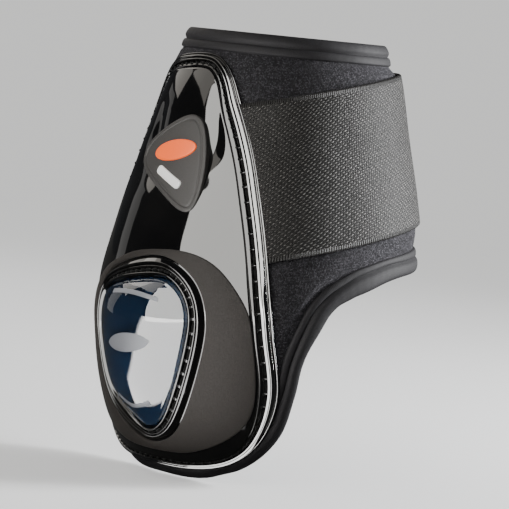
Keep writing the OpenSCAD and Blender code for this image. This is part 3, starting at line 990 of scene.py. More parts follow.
# ---------------------------------------------------------------- shell stitching
def spaced(line, pitch_at):
    """Centres, starts and lengths of stitches round a line, at a pitch set by the depth."""
    path = close(line)
    run = run_length(path)
    density = 1 / pitch_at(path[:, 1])
    total = np.r_[0, np.cumsum((density[1:] + density[:-1]) / 2 * np.diff(run))]
    count = int(round(total[-1]))
    centres = np.interp((np.arange(count) + 0.5) * total[-1] / count, total, run)
    starts = np.interp(np.arange(count) * total[-1] / count, total, run)
    return centres, starts, np.diff(np.r_[starts, run[-1]])


def shell_pitch(depth):
    return 3.0 + 2.8 * ease(24, 60, depth) - 2.6 * ease(118, 146, depth)


def bezel_pitch(depth):
    return 2.8 + 2.3 * ease(92, 106, depth) - 1.4 * ease(132, 148, depth)


stitch_line = inset(shell_line, STITCH_INSET * rim_widths)
hole_line = inset(shell_line, HOLE_INSET * rim_widths)
centres, starts, lengths = spaced(stitch_line, shell_pitch)
fix(stitches("shell_stitching", "dark_thread", stitch_line, centres, lengths * 0.985,
             height=0.74), "core", "shell_thread")
# Matte black thread ends at the stitch holes, which also stand in for the dark shade in the
# notches there: painted shade.
hole_at = np.interp(starts, run_length(close(stitch_line)), run_length(close(hole_line)))
fix(stitches("shell_stitch_ends_and_hole_shade", "dark_thread", hole_line, hole_at,
             np.full(len(hole_at), 1.05), height=1.72), "core")

# ---------------------------------------------------------------- patch and bezel
PATCH_HEIGHT = 0.85
PATCH_SECTION = [
    (0, 0.1, -0.15), (0, 0.1, PATCH_HEIGHT - 0.34), (0, 0.16, PATCH_HEIGHT - 0.14),
    (0, 0.3, PATCH_HEIGHT - 0.03), (0, 0.55, PATCH_HEIGHT)]
PATCH_SECTION += [(t, 0.55 * (1 - t), PATCH_HEIGHT + 0.12 * math.sin(PI * t))
                  for t in np.linspace(0.05, 0.95, 20)]
PATCH_SECTION += [
    (1, -0.3, PATCH_HEIGHT), (1, -0.12, PATCH_HEIGHT - 0.04), (1, -0.03, PATCH_HEIGHT - 0.16),
    (1, 0, PATCH_HEIGHT - 0.4), (1, 0, -0.15)]
fix(ring("impact_patch_skin", "patch", patch_line, inset(bezel_line, -0.55), PATCH_SECTION,
         base=-0.3), "core", "impact_patch")

# share from the bezel's line to the dome's, height above the face
BEZEL_SECTION = [
    (0, -0.1), (0, 0.25), (0.02, 0.4), (0.06, 0.66), (0.12, 1.0), (0.18, 1.34), (0.23, 1.62),
    (0.265, 1.82), (0.285, 1.92), (0.31, 1.96), (0.34, 1.95), (0.37, 1.91), (0.39, 1.84),
    (0.4, 1.6), (0.41, 1.2), (0.42, 1.1), (0.44, 1.2), (0.452, 1.5), (0.47, 1.68),
    (0.5, 1.75), (0.53, 1.72), (0.555, 1.5), (0.57, 1.0), (0.6, 0.7), (0.65, 0.62),
    (0.71, 0.68), (0.75, 0.95), (0.775, 1.6), (0.79, 2.0), (0.81, 2.22), (0.84, 2.32),
    (0.88, 2.32), (0.91, 2.22), (0.94, 2.0), (0.965, 1.7), (1.0, 1.1), (1.03, 0.9),
    (1.03, -0.1)]
fix(ring("gel_bezel_ring", "gloss", bezel_line, dome_line,
         [(share, 0, height) for share, height in BEZEL_SECTION], base=-0.25, sharp=50),
    "core", "gel_bezel")
bezel_channel = bezel_line * 0.345 + dome_line * 0.655
centres, _, lengths = spaced(bezel_channel, bezel_pitch)
fix(stitches("bezel_stitching", "dark_thread", bezel_channel, centres, lengths * 0.86,
             height=lambda place: 0.75 + float(face_height(place))), "core", "bezel_thread")

# ---------------------------------------------------------------- gel window
FILM_HEIGHT = 0.56
DOME_FOOT = 0.6
DOME_RISE = 6.3
DOME_START = 0.09   # share of the way in already climbed by the rounded edge

film_line = inset(dome_line, 0.4)
film_face = face_height(film_line) + FILM_HEIGHT
fix(plate("gel_backing_film", "navy", film_line,
          [(0, film_face - 0.4), (0.05, film_face), (0.5, film_face)],
          upright_spine(104, 128), lambda row, _: face_height(row) + FILM_HEIGHT,
          base=lambda row: face_height(row) - 0.2, inner=14), "core", "gel_backing")


def dome_rise(share):
    return DOME_RISE * (1 - (1 - share) ** 1.5) ** 0.7


def dome_height(row, share):
    return face_height(row) + DOME_FOOT + dome_rise(DOME_START + (1 - DOME_START) * share)


glass_line = inset(dome_line, 0.14)
glass_face = face_height(glass_line)
glass_edge = [(0.0, glass_face + 0.5)]
for k in range(1, 7):
    climb = dome_rise(DOME_START) * math.sin(PI / 2 * k / 6)
    glass_edge.append((0.25 * k, glass_face + DOME_FOOT + climb))
dome = plate("gel_dome_window", "clear", glass_line, glass_edge, upright_spine(106, 124),
             dome_height, base=lambda row: face_height(row) + 0.42, inner=52, sharp=60)
fix(dome, "core", "gel_dome", "gel_fluid")
dome_tree = BVHTree.FromPolygons([vertex.co.copy() for vertex in dome.data.vertices],
                                 [tuple(face.vertices) for face in dome.data.polygons])


def height_on_dome(places, top=20.0):
    """Height at which a ray cast inwards from top first meets the dome, or 0."""
    polar = to_polar(places)
    starts = wrap_point(polar[:, 0], polar[:, 1], top)
    ends = wrap_point(polar[:, 0], polar[:, 1], 0.0)
    heights = np.zeros(len(places))
    for i, (start, end) in enumerate(zip(starts, ends)):
        way = Vector(end) - Vector(start)
        hit = dome_tree.ray_cast(Vector(start), way.normalized())
        if hit[0] is not None:
            heights[i] = top * (1 - hit[3] / way.length)
    return heights


# ---------------------------------------------------------------- inlays
def placed(x, y, azimuth, depth, turn):
    """Flat points turned and set down on the chart."""
    cos, sin = math.cos(math.radians(turn)), math.sin(math.radians(turn))
    across = float(wrap_radius(depth)) * math.radians(azimuth)
    return np.stack([across + x * cos + y * sin, depth - x * sin + y * cos], 1)


def pebble(half_length, half_height, count, azimuth, depth, turn, point=1.0):
    """An oval outline; point above 1 draws its ends out."""
    angle = np.linspace(0, 2 * PI, count, endpoint=False)
    sin = np.sin(angle)
    return placed(half_length * np.cos(angle),
                  half_height * sin * (np.abs(sin) + 1e-6) ** (point - 1),
                  azimuth, depth, turn)


def bar(length, width, corner, azimuth, depth, turn):
    """A rounded rectangle."""
    points = []
    for x_side, y_side, start in ((1, 1, 0), (-1, 1, 90), (-1, -1, 180), (1, -1, 270)):
        for k in range(9):
            angle = math.radians(start + 90 * k / 8)
            points.append([x_side * (length / 2 - corner) + corner * math.cos(angle),
                           y_side * (width / 2 - corner) + corner * math.sin(angle)])
    points = resample(close(np.array(points)), 90, closed=True)
    return placed(points[:, 0], points[:, 1], azimuth, depth, turn)


def inlay(outline, bottom, top, edge, inner=6, ground=None):
    """Part for a raised inlay with a rounded edge; ground gives the height below it."""
    outline = facing_in(outline)
    side = normals(outline)
    centre = outline.mean(0)
    rows = [outline * (1 - t) + centre * t for t in (0.98, 0.5)]
    rows += [outline, outline, outline + side * edge * 0.3, outline + side * edge]
    heights = [bottom, bottom, bottom, top - edge, top - edge * 0.3, top] + [top] * inner
    rim = rows[-1]
    for k in range(1, inner + 1):
        share = k / inner * 0.98
        rows.append(rim * (1 - share) + centre * share)
    chart = np.array(rows)
    height = np.repeat(np.array(heights)[:, None], len(outline), 1)
    if ground is not None:
        height = height + ground(chart.reshape(-1, 2)).reshape(height.shape)
    return (*lay(chart, height), True, True)


def ribbon(line, half_width, bottom, top, ground):
    """Parts for a long narrow inlay along an open line."""
    side = normals(line, closed=False) * half_width
    left, right = line + side, line - side
    shares = (0, 0, 0.12, 0.5, 0.88, 1, 1)
    heights = (bottom, top * 0.5, top, top, top, top * 0.5, bottom)
    chart = np.array([left * (1 - share) + right * share for share in shares])
    height = np.array(heights)[:, None] + ground(chart.reshape(-1, 2)).reshape(7, -1)
    grids = lay(chart, height)
    parts = [(*grids, True, False)]
    for col in (0, -1):
        ends = (np.stack([grid[:4, col], grid[:2:-1, col]], 1) for grid in grids)
        parts.append((*ends, False, False))
    return parts


def bowed_line(half_length, depth, bow):
    x = np.linspace(-half_length, half_length, 40)
    line = np.stack([x, depth + bow * np.cos(x / half_length * 1.5)], 1)
    return resample(line, 48)


mark = [inlay(pebble(9.6, 3.3, 72, azimuth=0.5, depth=113.5, turn=10, point=1.25),
              bottom=-0.12, top=0.09, edge=0.06, inner=10, ground=height_on_dome)]
for line in (bowed_line(11.5, 98.0, -1.1), bowed_line(8.0, 133.6, 2.3)):
    mark += ribbon(line, half_width=0.75, bottom=-0.1, top=0.09, ground=height_on_dome)
fix(build("dome_mark", "print", mark), "core", "dome_emblem")

# ---------------------------------------------------------------- badge
BADGE_TOP = FACE + 2.1
BADGE_FLOOR = BADGE_TOP - 0.02
# inset, height; a shallow groove runs inside the edge
BADGE_PROFILE = [
    (0, 0.9), (-0.12, BADGE_TOP - 0.6), (-0.05, BADGE_TOP - 0.3), (0.16, BADGE_TOP - 0.08),
    (0.42, BADGE_TOP), (1.05, BADGE_TOP), (1.3, BADGE_TOP - 0.05), (1.45, BADGE_TOP - 0.28),
    (1.7, BADGE_TOP - 0.36), (1.95, BADGE_TOP - 0.28), (2.1, BADGE_TOP - 0.12),
    (2.35, BADGE_TOP - 0.05), (2.8, BADGE_FLOOR)]
badge_centre = badge_line.mean(0)
fix(plate("badge_base_body", "badge", badge_line, BADGE_PROFILE,
          lambda row: badge_centre + (row - badge_centre) * 0.01,
          lambda row, _: BADGE_FLOOR, base=0.6, inner=12), "core", "badge_base")
emblem = inlay(pebble(9.2, 3.7, 96, azimuth=0.8, depth=45.6, turn=14),
               bottom=BADGE_TOP - 0.15, top=BADGE_TOP + 0.6, edge=0.32)
fix(build("badge_pebble", "orange", [emblem]), "core", "badge_emblem")
white_bar = inlay(bar(length=13.0, width=3.2, corner=1.2, azimuth=1.5, depth=55.4, turn=-24),
                  bottom=BADGE_TOP - 0.15, top=BADGE_TOP + 0.45, edge=0.25)
fix(build("badge_bar_inlay", "white", [white_bar]), "core", "badge_bar")

# ---------------------------------------------------------------- strap lie
STRAP_WIDTH = 56.2
STRAP_HALF = STRAP_WIDTH / 2
STRAP_TILT = math.radians(13.8)
STRAP_MID = 49.6            # depth of the strap's middle line where the tilt has no effect
STRAP_LEVEL = 145           # azimuth at which the tilt's effect on depth is greatest
STRAP_IN, STRAP_OUT = 1.45, 3.5     # heights of its two faces
STRAP_RADIUS = float(wrap_radius(45.0))


def strap_across(azimuth, depth, height=1.3):
    """Distance below the strap's middle line."""
    swing = (wrap_radius(depth) + height) * np.cos(np.radians(azimuth - STRAP_LEVEL))
    return (depth - STRAP_MID) * math.cos(STRAP_TILT) + math.sin(STRAP_TILT) * swing


def strap_depth(azimuth, across, height):
    """Depth of the line that lies across mm below the strap's middle, by iteration."""
    azimuth = np.asarray(azimuth, float)
    depth = np.full(np.broadcast(azimuth, across).shape, 45.0)
    for _ in range(8):
        radius = wrap_radius(depth) + height
        swing = math.sin(STRAP_TILT) * radius * np.cos(np.radians(azimuth - STRAP_LEVEL))
        depth = STRAP_MID + (across - swing) / math.cos(STRAP_TILT)
    return depth


def shell_side(side, least):
    """Depths and azimuths down one side of the shell, starting well inside at the rim."""
    polar = to_polar(shell_line) * (side, 1)
    polar = polar[polar[:, 0] > least]
    polar = polar[np.argsort(polar[:, 1])]
    return np.r_[0, polar[:, 1]], np.r_[-20, polar[:, 0]]


FRONT_SIDE = shell_side(1, 2)
REAR_SIDE = shell_side(-1, 10)

# ---------------------------------------------------------------- wrap lines: azimuth, depth
# Lower run of each line, from below the shell round to a flap: the neoprene's seam, the line
# between the binding's two rolls, and the outer edge.
SEAM = [
    [0, 155], [20, 154], [36, 149.5], [46, 141.5], [51.5, 132], [54, 121.8], [54.8, 114.5],
    [55.7, 110.1], [57.3, 105.6], [58.9, 101.2], [61.6, 95.4], [65.4, 90.3], [69, 86.9],
    [73, 84.1], [77.4, 82.1], [82, 80.2], [87, 78.7], [92, 77.6], [99, 76.3], [106, 75.4],
    [120, 74.2], [140, 73.6]]
LINE = [
    [0, 159], [12, 159.1], [24.3, 158.3], [31.6, 156.3], [38.4, 154], [44.5, 150.2],
    [48.2, 146.8], [51.6, 142.7], [53.7, 138.8], [54.9, 134.2], [55.7, 129.3], [56.5, 124.5],
    [57.1, 117.9], [57.9, 113.5], [59.5, 107.2], [61.7, 100.7], [64.4, 95.2], [67.6, 91.4],
    [71.5, 88.2], [75.6, 85.8], [80, 83.5], [84.7, 81.9], [90, 80.4], [97, 78.8], [106, 77.8],
    [120, 77], [140, 76.4]]
EDGE = [
    [0, 163.6], [12, 163.8], [23.5, 163.1], [38.6, 159.4], [47.3, 155.5], [54.7, 149],
    [57.8, 143.8], [59.8, 138.4], [60.9, 129.7], [61.7, 122.4], [62.4, 115], [63.6, 110.6],
    [66, 106.5], [68, 102.1], [70.2, 97.7], [72.3, 94.8], [75, 92.9], [81.4, 90.3],
    [91.4, 86.7], [104.6, 83.6], [120, 82.6], [140, 82]]
SEAM_TOP = 7.2      # depth of the seam along the rim
SEAM_END = 9.3      # degrees from the flap's end to the seam
TUCK = 1.3          # the neoprene runs this far under the binding
CLOTH_BACK = -2.5   # height of the neoprene's inner face


def rounded_corner(before, corner, after, size):
    arm_in = (before - corner) / np.linalg.norm(before - corner)
    arm_out = (after - corner) / np.linalg.norm(after - corner)
    t = np.linspace(0, 1, 12)[:, None]
    return ((corner + arm_in * size) * (1 - t) ** 2 + corner * 2 * t * (1 - t)
            + (corner + arm_out * size) * t * t)


def half_path(stations, end, top, size):
    """Along the lower line, up the flap's end and back along the top to azimuth 0."""
    low_depth = stations[-1][1] - 0.2
    lower = [station for station in stations if station[0] < end - 25]
    lower = curve(to_chart(lower + [[end - 16, low_depth], [end - 8, low_depth]]), 700)
    rise = to_chart([[end, depth] for depth in np.linspace(low_depth, top, 60)])
    back = to_chart([[azimuth, top] for azimuth in np.linspace(end, 0, 160)])
    low_corner, top_corner = rise[0], rise[-1]

    def clear(line, corner):
        return np.linalg.norm(line - corner, axis=1) > size * 1.15

    return np.vstack([
        lower[clear(lower, low_corner)],
        rounded_corner(lower[-1], low_corner, rise[6], size),
        rise[clear(rise, low_corner) & clear(rise, top_corner)],
        rounded_corner(rise[-6], top_corner, back[4], size),
        back[clear(back, top_corner)]])


def wrap_thickness(depth):
    """From the neoprene's face to the lining's inner face, which is straight at the cuff."""
    inside = wrap_radius(depth) - 7.1
    return wrap_radius(depth) - (CUFF_RADIUS + (inside - CUFF_RADIUS) * ease(25, 47, depth))


# ---------------------------------------------------------------- padding swell
CLOTH_ZOOM = 10     # the solver works at ten times life size
CLOTH_FRAMES = 18
CLOTH = {
    "quality": 6, "mass": 0.3, "tension_stiffness": 18, "compression_stiffness": 18,
    "shear_stiffness": 6, "bending_stiffness": 1.5, "vertex_group_mass": "pin",
    "use_pressure": True, "uniform_pressure_force": 4.0}


def blown_cloth(name, verts, faces, pins):
    """Vertex places after the pinned sheet is blown up by pressure."""
    mesh = bpy.data.meshes.new(name)
    mesh.from_pydata([tuple(vert) for vert in verts], [], faces)
    cloth = bpy.data.objects.new(name, mesh)
    scene = bpy.context.scene
    scene.collection.objects.link(cloth)
    group = cloth.vertex_groups.new(name="pin")
    for i, pin in enumerate(pins):
        group.add([i], float(min(1.0, pin)), "REPLACE")
    solver = cloth.modifiers.new("cloth", "CLOTH")
    for key, value in CLOTH.items():
        setattr(solver.settings, key, value)
    solver.settings.effector_weights.gravity = 0
    solver.collision_settings.use_collision = False
    solver.point_cache.frame_start = 1
    solver.point_cache.frame_end = CLOTH_FRAMES
    for k in range(1, CLOTH_FRAMES + 1):
        scene.frame_set(k)
    result = cloth.evaluated_get(bpy.context.evaluated_depsgraph_get())
    places = np.zeros(len(verts) * 3)
    result.data.vertices.foreach_get("co", places)
    bpy.data.objects.remove(cloth)
    scene.frame_set(1)
    return places.reshape(-1, 3)


def swollen(name, start, normal, pin, most, outward):
    """Extra height in mm of each point of a coarse grid after the cloth run."""
    rows, cols = pin.shape
    verts = (start * CLOTH_ZOOM).reshape(-1, 3)
    faces = []
    for i in range(rows - 1):
        for j in range(cols - 1):
            k = i * cols + j
            corners = (k, k + 1, k + cols + 1, k + cols)
            a, b, d = verts[k], verts[k + 1], verts[k + cols]
            # faces must look the way the padding swells
            looks_out = np.dot(np.cross(b - a, d - a), normal[i, j]) > 0
            faces.append(corners if looks_out == outward else corners[::-1])
    places = blown_cloth(name, verts, faces, pin.reshape(-1))
    move = (places - verts).reshape(rows, cols, 3) / CLOTH_ZOOM * 1000 / SCALE
    height = np.einsum("ijk,ijk->ij", move, normal) * (1 if outward else -1)
    SIZE.setdefault("cloth_mm", {})[name] = [
        round(float(height.min()), 2), round(float(height.max()), 2), rows, cols]
    usual = np.percentile(height[pin < 0.5], 90)
    height = np.clip(height, 0, None)
    # scale to the wanted swell, unless the cloth hardly moved
    if usual > 1e-6:
        height = height * min(1.6 * most / usual, 6.0)
    height = most * np.tanh(height / most)
    return height * (1 - pin ** 2)


def inflate(name, azimuth, depth, height, pin, most, outward=True):
    """Swell of a padded sheet between its held lines, found on every third row and fourth
    column and spread back over the whole grid."""
    rows, cols = azimuth.shape
    row_at = np.unique(np.r_[np.arange(0, rows, 3), rows - 1])
    col_at = np.unique(np.r_[np.arange(0, cols, 4), cols - 1])
    azimuth, depth, height, pin = (
        field[np.ix_(row_at, col_at)] for field in (azimuth, depth, height, pin))
    start = wrap_point(azimuth, depth, height)
    normal = wrap_point(azimuth, depth, height + 1.0) - start
    normal = normal / np.linalg.norm(normal, axis=-1)[..., None]
    coarse = swollen(name, start, normal, pin, most, outward)
    wide = np.array([np.interp(np.arange(cols), col_at, row) for row in coarse])
    return np.array([np.interp(np.arange(rows), row_at, col) for col in wide.T]).T


# ---------------------------------------------------------------- wrap halves
BINDING_BACK = 6.2      # depth of the binding's inner face below the neoprene's face


def outer_roll(angle, start, width, pucker):
    """Reach beyond the line and height, from the groove round the edge to the inner face."""
    top = 0.5 + pucker * 0.5
    middle = (top - BINDING_BACK) / 2
    half = (top + BINDING_BACK) / 2
    if angle >= 0:
        reach = (0.5 + 0.5 * abs(math.cos(angle)) ** 0.72) * width
        down = -math.sin(angle)
        return reach, middle + half * math.copysign(abs(down) ** 0.8, down)
    share = (angle + start) / start
    reach = (0.04 + 0.96 * math.sin(share * PI / 2)) * width
    height = middle + half * (1 - share ** 2.6) ** 0.62
    if share < 0.22:
        # drop into the groove between the rolls
        height = -0.45 + (height + 0.45) * math.sin(share / 0.22 * PI / 2)
    return reach, height


def binding(tag, side, seam, line, edge):
    """Double rolled binding: a roll on each side of the line, and the turned-in back."""
    line = resample(line, 520)
    down = down_normals(line)
    outer_width = averaged(distance_to(line, edge))
    inner_width = averaged(distance_to(line, seam))
    along = run_length(line)
    pucker = 0.035 * np.sin(2 * PI * along / 3.9)
    pucker = pucker + 0.10 * wobble(along, along * 0.3, seed=1.3, scale=6.0)
    level = np.ones_like(along)
    section = [(-1.25 * inner_width, -1.7 * level), (-1.05 * inner_width, -0.75 * level)]
    for i in range(10):
        angle = PI * i / 9
        section.append(((-0.5 - 0.5 * math.cos(angle)) * inner_width,
                        -0.55 + 0.85 * math.sin(angle) ** 0.6 + pucker * 0.5))
    start = PI / 2 * 0.93
    for i in range(25):
        section.append(outer_roll(-start + (PI * 0.96) * i / 24, start, outer_width, pucker))
    for share in (-0.7, -1.1):
        section.append((share * inner_width, (-BINDING_BACK + 0.35) * level))
    points, tex = [], []
    for reach, height in section:
        polar = to_polar(line + down * reach[:, None])
        points.append(wrap_point(polar[:, 0] * side, polar[:, 1], height))
        tex.append(np.stack([along, reach, height], 1))
    points, tex = np.array(points), np.array(tex)
    parts = [(points, tex, True, False)]
    for col in (0, -1):
        ends = points[:, col]
        centre = np.repeat(ends.mean(0)[None], len(points), 0)
        cap = np.stack([ends, ends * 0.5 + centre * 0.5, centre], 1)
        parts.append((cap, np.repeat(tex[:, col][:, None], 3, 1), True, False))
    return build("binding_" + tag, "lycra", parts, sharp=60)


def half_grid(seam, end):
    """Azimuth, depth, chart and distance inside the seam over one half of the wrap."""
    stop = int(np.argmax(to_polar(seam)[:, 0] > end - SEAM_END - 0.1))
    lower = resample(seam[:stop + 1], 190)
    lower = to_polar(lower + down_normals(lower) * TUCK)
    reach = end - 8.0
    # the columns' tops are spaced partly evenly and partly like their lower ends
    even = 0.55
    top = reach * np.linspace(0, 1, len(lower)) * even
    top = top + (lower[:, 0] / lower[-1, 0]) * reach * (1 - even)
    t = np.linspace(0, 1, 96)[:, None]
    eased = t * t * (3 - 2 * t)
    azimuth = top * (1 - eased) + lower[:, 0] * eased
    depth = (SEAM_TOP - TUCK) * (1 - t) + lower[:, 1] * t
    chart = to_chart(np.stack([azimuth, depth], -1))
    inside = distance_to(chart.reshape(-1, 2), seam).reshape(azimuth.shape)
    # the border rows and the last column lie beyond the seam
    beyond = np.zeros_like(inside, bool)
    beyond[[0, -1]] = True
    beyond[:, -1] = True
    return azimuth, depth, chart, np.where(beyond, -inside, inside)


def skin(grid, side, height):
    azimuth, depth, chart, _ = grid
    return wrap_point(azimuth * side, depth, height), tagged(chart, height)


def neoprene(tag, side, grid, bend):
    azimuth, depth, chart, inside = grid
    height = -0.85 * np.exp(-np.maximum(inside, 0) / 1.1) - np.where(inside < 0, 0.45, 0)
    height = height + 0.10 * wobble(chart[..., 0], chart[..., 1], seed=0.4, scale=16)
    # a soft crease where the flap bends away from the shell
    off_bend = arc_length(azimuth - bend, wrap_radius(depth))
    crease = -0.28 * np.exp(-((off_bend - 2.0 * np.sin(depth / 23.0)) / 4.5) ** 2)
    height = height + crease * ease(6, 30, depth) * (1 - ease(86, 104, depth))
    # swell only clear of the shell, the seam and whatever the strap holds down
    edge = np.interp(depth, *(FRONT_SIDE if side > 0 else REAR_SIDE))
    off_shell = arc_length(azimuth - edge, wrap_radius(depth))
    clear = ease(0.6, 5.0, off_shell) * ease(0.5, 3.5, inside)
    off_strap = np.abs(strap_across(azimuth, depth))
    if side > 0:
        # the padding stands up to meet the strap
        under = 1 - ease(STRAP_HALF - 0.5, STRAP_HALF + 5.5, off_strap)
        height = height + 1.2 * under * clear
        held = 1 - ease(STRAP_HALF - 0.5, STRAP_HALF + 1.5, off_strap)
    else:
        held = 1 - ease(STRAP_HALF - 4, STRAP_HALF + 3, off_strap)
        held = held * ease(90, 96, azimuth)
    pin = np.maximum(held, np.maximum(1 - ease(0.3, 1.6, off_shell),
                                      1 - ease(0.6, 2.4, inside)))
    pin = np.where(inside < 0, 1.0, pin)
    swell = inflate("swell_" + tag, azimuth * side, depth, height, pin,
                    most=1.35 if side > 0 else 1.15)
    height = height + swell * clear
    return sheet("neoprene_" + tag, "neoprene", skin(grid, side, height),
                 skin(grid, side, np.full_like(height, CLOTH_BACK)), sharp=55)


def lining(tag, side, grid, channels):
    """Padded lining; channels are the azimuths of its upright sewn lines."""
    azimuth, depth, chart, inside = grid
    edge_thick = 5.9
    inward = np.maximum(inside, 0)
    full = wrap_thickness(depth)
    near_seam = np.exp(-(inward / 4.5) ** 2)
    thick = full * (1 - near_seam) + edge_thick * near_seam
    sewn = np.zeros_like(thick)
    for channel in channels:
        off = arc_length(azimuth - channel, wrap_radius(depth) - full)
        sewn = np.maximum(sewn, np.exp(-(off / 1.0) ** 2))
    pin = np.maximum(sewn, 1 - ease(0.6, 3.0, inside))
    pin = np.where(inside < 0, 1.0, pin)
    pad = inflate("pad_" + tag, azimuth * side, depth, -thick, pin, most=1.0, outward=False)
    thick = (thick - (1.0 - pad) * ease(0, 9, inside) - 0.6 * np.exp(-inward / 1.2)
             + 0.15 * wobble(chart[..., 0], chart[..., 1], seed=2.1, scale=11))
    thick = np.where(inside < 0, edge_thick - 1.4, thick)
    return sheet("lining_" + tag, "lining",
                 skin(grid, side, np.full_like(thick, CLOTH_BACK - 0.12)),
                 skin(grid, side, -thick), sharp=60)


def on_wrap(azimuth, depth):
    return Vector(wrap_point(azimuth, depth, 0.0))


def wrap_half(tag, side, end, bend, channels, replaced):
    """One half of the wrap; side is 1 towards +X and -1 towards -X."""
    seam = half_path(SEAM, end - SEAM_END, SEAM_TOP, 4.0)
    line = half_path(LINE, end - 6.6, 4.1, 6.0)
    edge = half_path(EDGE, end, -0.7, 10.0)
    grid = half_grid(seam, end)
    pieces = (binding(tag, side, seam, line, edge), neoprene(tag, side, grid, bend),
              lining(tag, side, grid, channels))
    for piece, names in zip(pieces, replaced):
        on_wrap((bend - 10) * side, 46)
        on_wrap((bend + 12) * side, 46)
        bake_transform(piece)
        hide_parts(*names)


wrap_half("front", 1, end=196.0, bend=FRONT_BEND, channels=(0, 30, 60, 92, 122, 152),
          replaced=(("front_binding", "top_binding", "bottom_binding"),
                    ("front_neoprene", "neoprene_core"),
                    ("front_lining", "front_foam", "lining_core", "foam_core")))
wrap_half("rear", -1, end=156.0, bend=REAR_BEND, channels=(0, 30, 60, 92, 122),
          replaced=(("rear_binding",), ("rear_neoprene",), ("rear_lining", "rear_foam")))


# ---------------------------------------------------------------- strap
def strap_piece(name, look, start, end, inner, outer, width=STRAP_WIDTH, step=0.9,
                follow=None, round_end=0.0, waviness=0.12):
    """A flat band between two azimuths and two heights, rounded along its edges.
    follow bends its start; round_end is the radius of the corners at its end."""
    soft = 0.7
    azimuths = np.linspace(start, end, int((end - start) / step) + 1)
    half = width / 2
    border = [-half, -half + 0.12, -half + 0.4, -half + soft]
    middle = list(np.linspace(-half + soft, half - soft, 42))[1:-1]
    grids = ([], [], [], [])
    for across in border + middle + [-x for x in reversed(border)]:
        at_edge = max(0.0, 1 - (half - abs(across)) / soft)
        drop = (1 - math.sqrt(max(0.0, 1 - at_edge * at_edge))) * (outer - inner) * 0.5
        azimuth = follow(across, azimuths) if follow else azimuths
        if round_end:
            over = max(0.0, abs(across) - (half - round_end))
            pull = round_end - math.sqrt(max(0.0, round_end * round_end - over * over))
            pull = pull / STRAP_RADIUS * 180 / PI
            azimuth = azimuth - pull * np.clip((azimuths - (end - 14)) / 14, 0, 1)
        lateral = np.full(len(azimuths), across)
        depth = strap_depth(azimuth, lateral, (inner + outer) / 2)
        along = STRAP_RADIUS * np.radians(azimuth)
        wave = waviness * wobble(along, across, seed=0.7, scale=13)
        # the edges lie a touch closer than the middle
        crown = 0.25 * (1 - (2 * across / width) ** 4)
        top = outer - drop + wave + crown - 0.25
        bottom = inner + drop + wave * 0.5
        rows = (wrap_point(azimuth, depth, top), np.stack([along, lateral, top], 1),
                wrap_point(azimuth, depth, bottom), np.stack([along, lateral, bottom], 1))
        for grid, row in zip(grids, rows):
            grid.append(row)
    grids = [np.array(grid) for grid in grids]
    return sheet(name, look, grids[:2], grids[2:], sharp=65)


def under_flange(across, azimuths):
    """Start the strap along the shell's edge, 0.4 degrees inside it."""
    depths, edges = FRONT_SIDE[0][1:], FRONT_SIDE[1][1:]
    beside = depths < 125
    start = 45.0
    for _ in range(6):
        depth = float(strap_depth(start, across, 2.4))
        start = float(np.interp(depth, depths[beside], edges[beside])) - 0.4
    share = (azimuths - azimuths[0]) / (azimuths[-1] - azimuths[0])
    return start * (1 - share) + azimuths[-1] * share


ANCHOR_START, ANCHOR_END = 81.0, 118.0      # azimuths where the strap's three lengths meet

band = strap_piece("strap_root_band", "elastic", 40, ANCHOR_START, STRAP_IN, STRAP_OUT,
                   follow=under_flange)
on_wrap(FRONT_BEND - 10, 46)
on_wrap(FRONT_BEND + 12, 46)
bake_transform(band)
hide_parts("strap_root")
band = strap_piece("strap_anchor_band", "elastic", ANCHOR_START, ANCHOR_END, STRAP_IN,
                   STRAP_OUT)
on_wrap(ANCHOR_START + 0.6, 42)
on_wrap(STRAP_LIFT + 9, 42)
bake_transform(band)
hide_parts("strap_anchor", "strap_band")
band = strap_piece("strap_end_band_cloth", "elastic", ANCHOR_END, 238.0, STRAP_IN, STRAP_OUT,
                   round_end=7.0)
on_wrap(STRAP_PEEL - 1.5, 36)
on_wrap(STRAP_PEEL + 17, 36)
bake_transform(band)
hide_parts("strap_end_band")

fix(strap_piece("loop_landing", "loop", 211, 264, 0.0, 0.75, width=48, waviness=0.05),
    "rear_flap", "loop_patch")
fix(strap_piece("hook_tape", "hook", 212, 236, 0.85, 1.5, width=50, waviness=0.05),
    "strap_end", "hook_patch")
fix(strap_piece("pull_tab_grip", "tab", 227, 238.6, STRAP_OUT - 0.1, STRAP_OUT + 1.0,
                width=34, round_end=5.0, waviness=0.0, step=0.5), "strap_end", "pull_tab")


def strap_stitching(name, runs, height, pitch):
    """Straight runs of stitches, each (azimuth, across) to (azimuth, across), as one piece."""
    pieces = []
    for i, (start, across, end, end_across) in enumerate(runs):
        azimuth = np.linspace(start, end, 60)
        depth = strap_depth(azimuth, np.linspace(across, end_across, 60), 2.4)
        line = to_chart(np.stack([azimuth, depth], 1))
        length = run_length(line)[-1]
        count = max(1, int(round(length / pitch)))
        centres = (np.arange(count) + 0.5) * length / count
        pieces.append(stitches(name + str(i), "thread", line, centres, np.full(count, 1.9),
                               height, radius=0.32, closed=False))
    bm = bmesh.new()
    for piece in pieces:
        bm.from_mesh(piece.data)
    bm.to_mesh(pieces[0].data)
    bm.free()
    for piece in pieces[1:]:
        bpy.data.objects.remove(piece)
    pieces[0].name = name
    return pieces[0]


fix(strap_stitching("hook_box_stitching",
                    [(213.5, -24, 213.5, 24), (213.5, 24, 226, 24), (213.5, -24, 226, -24)],
                    height=STRAP_OUT + 0.02, pitch=2.6), "strap_end", "anchor_thread")
fix(strap_stitching("tab_stitching", [(235.2, -14, 235.2, 14)], height=STRAP_OUT + 0.85,
                    pitch=2.4), "strap_end", "tab_thread")


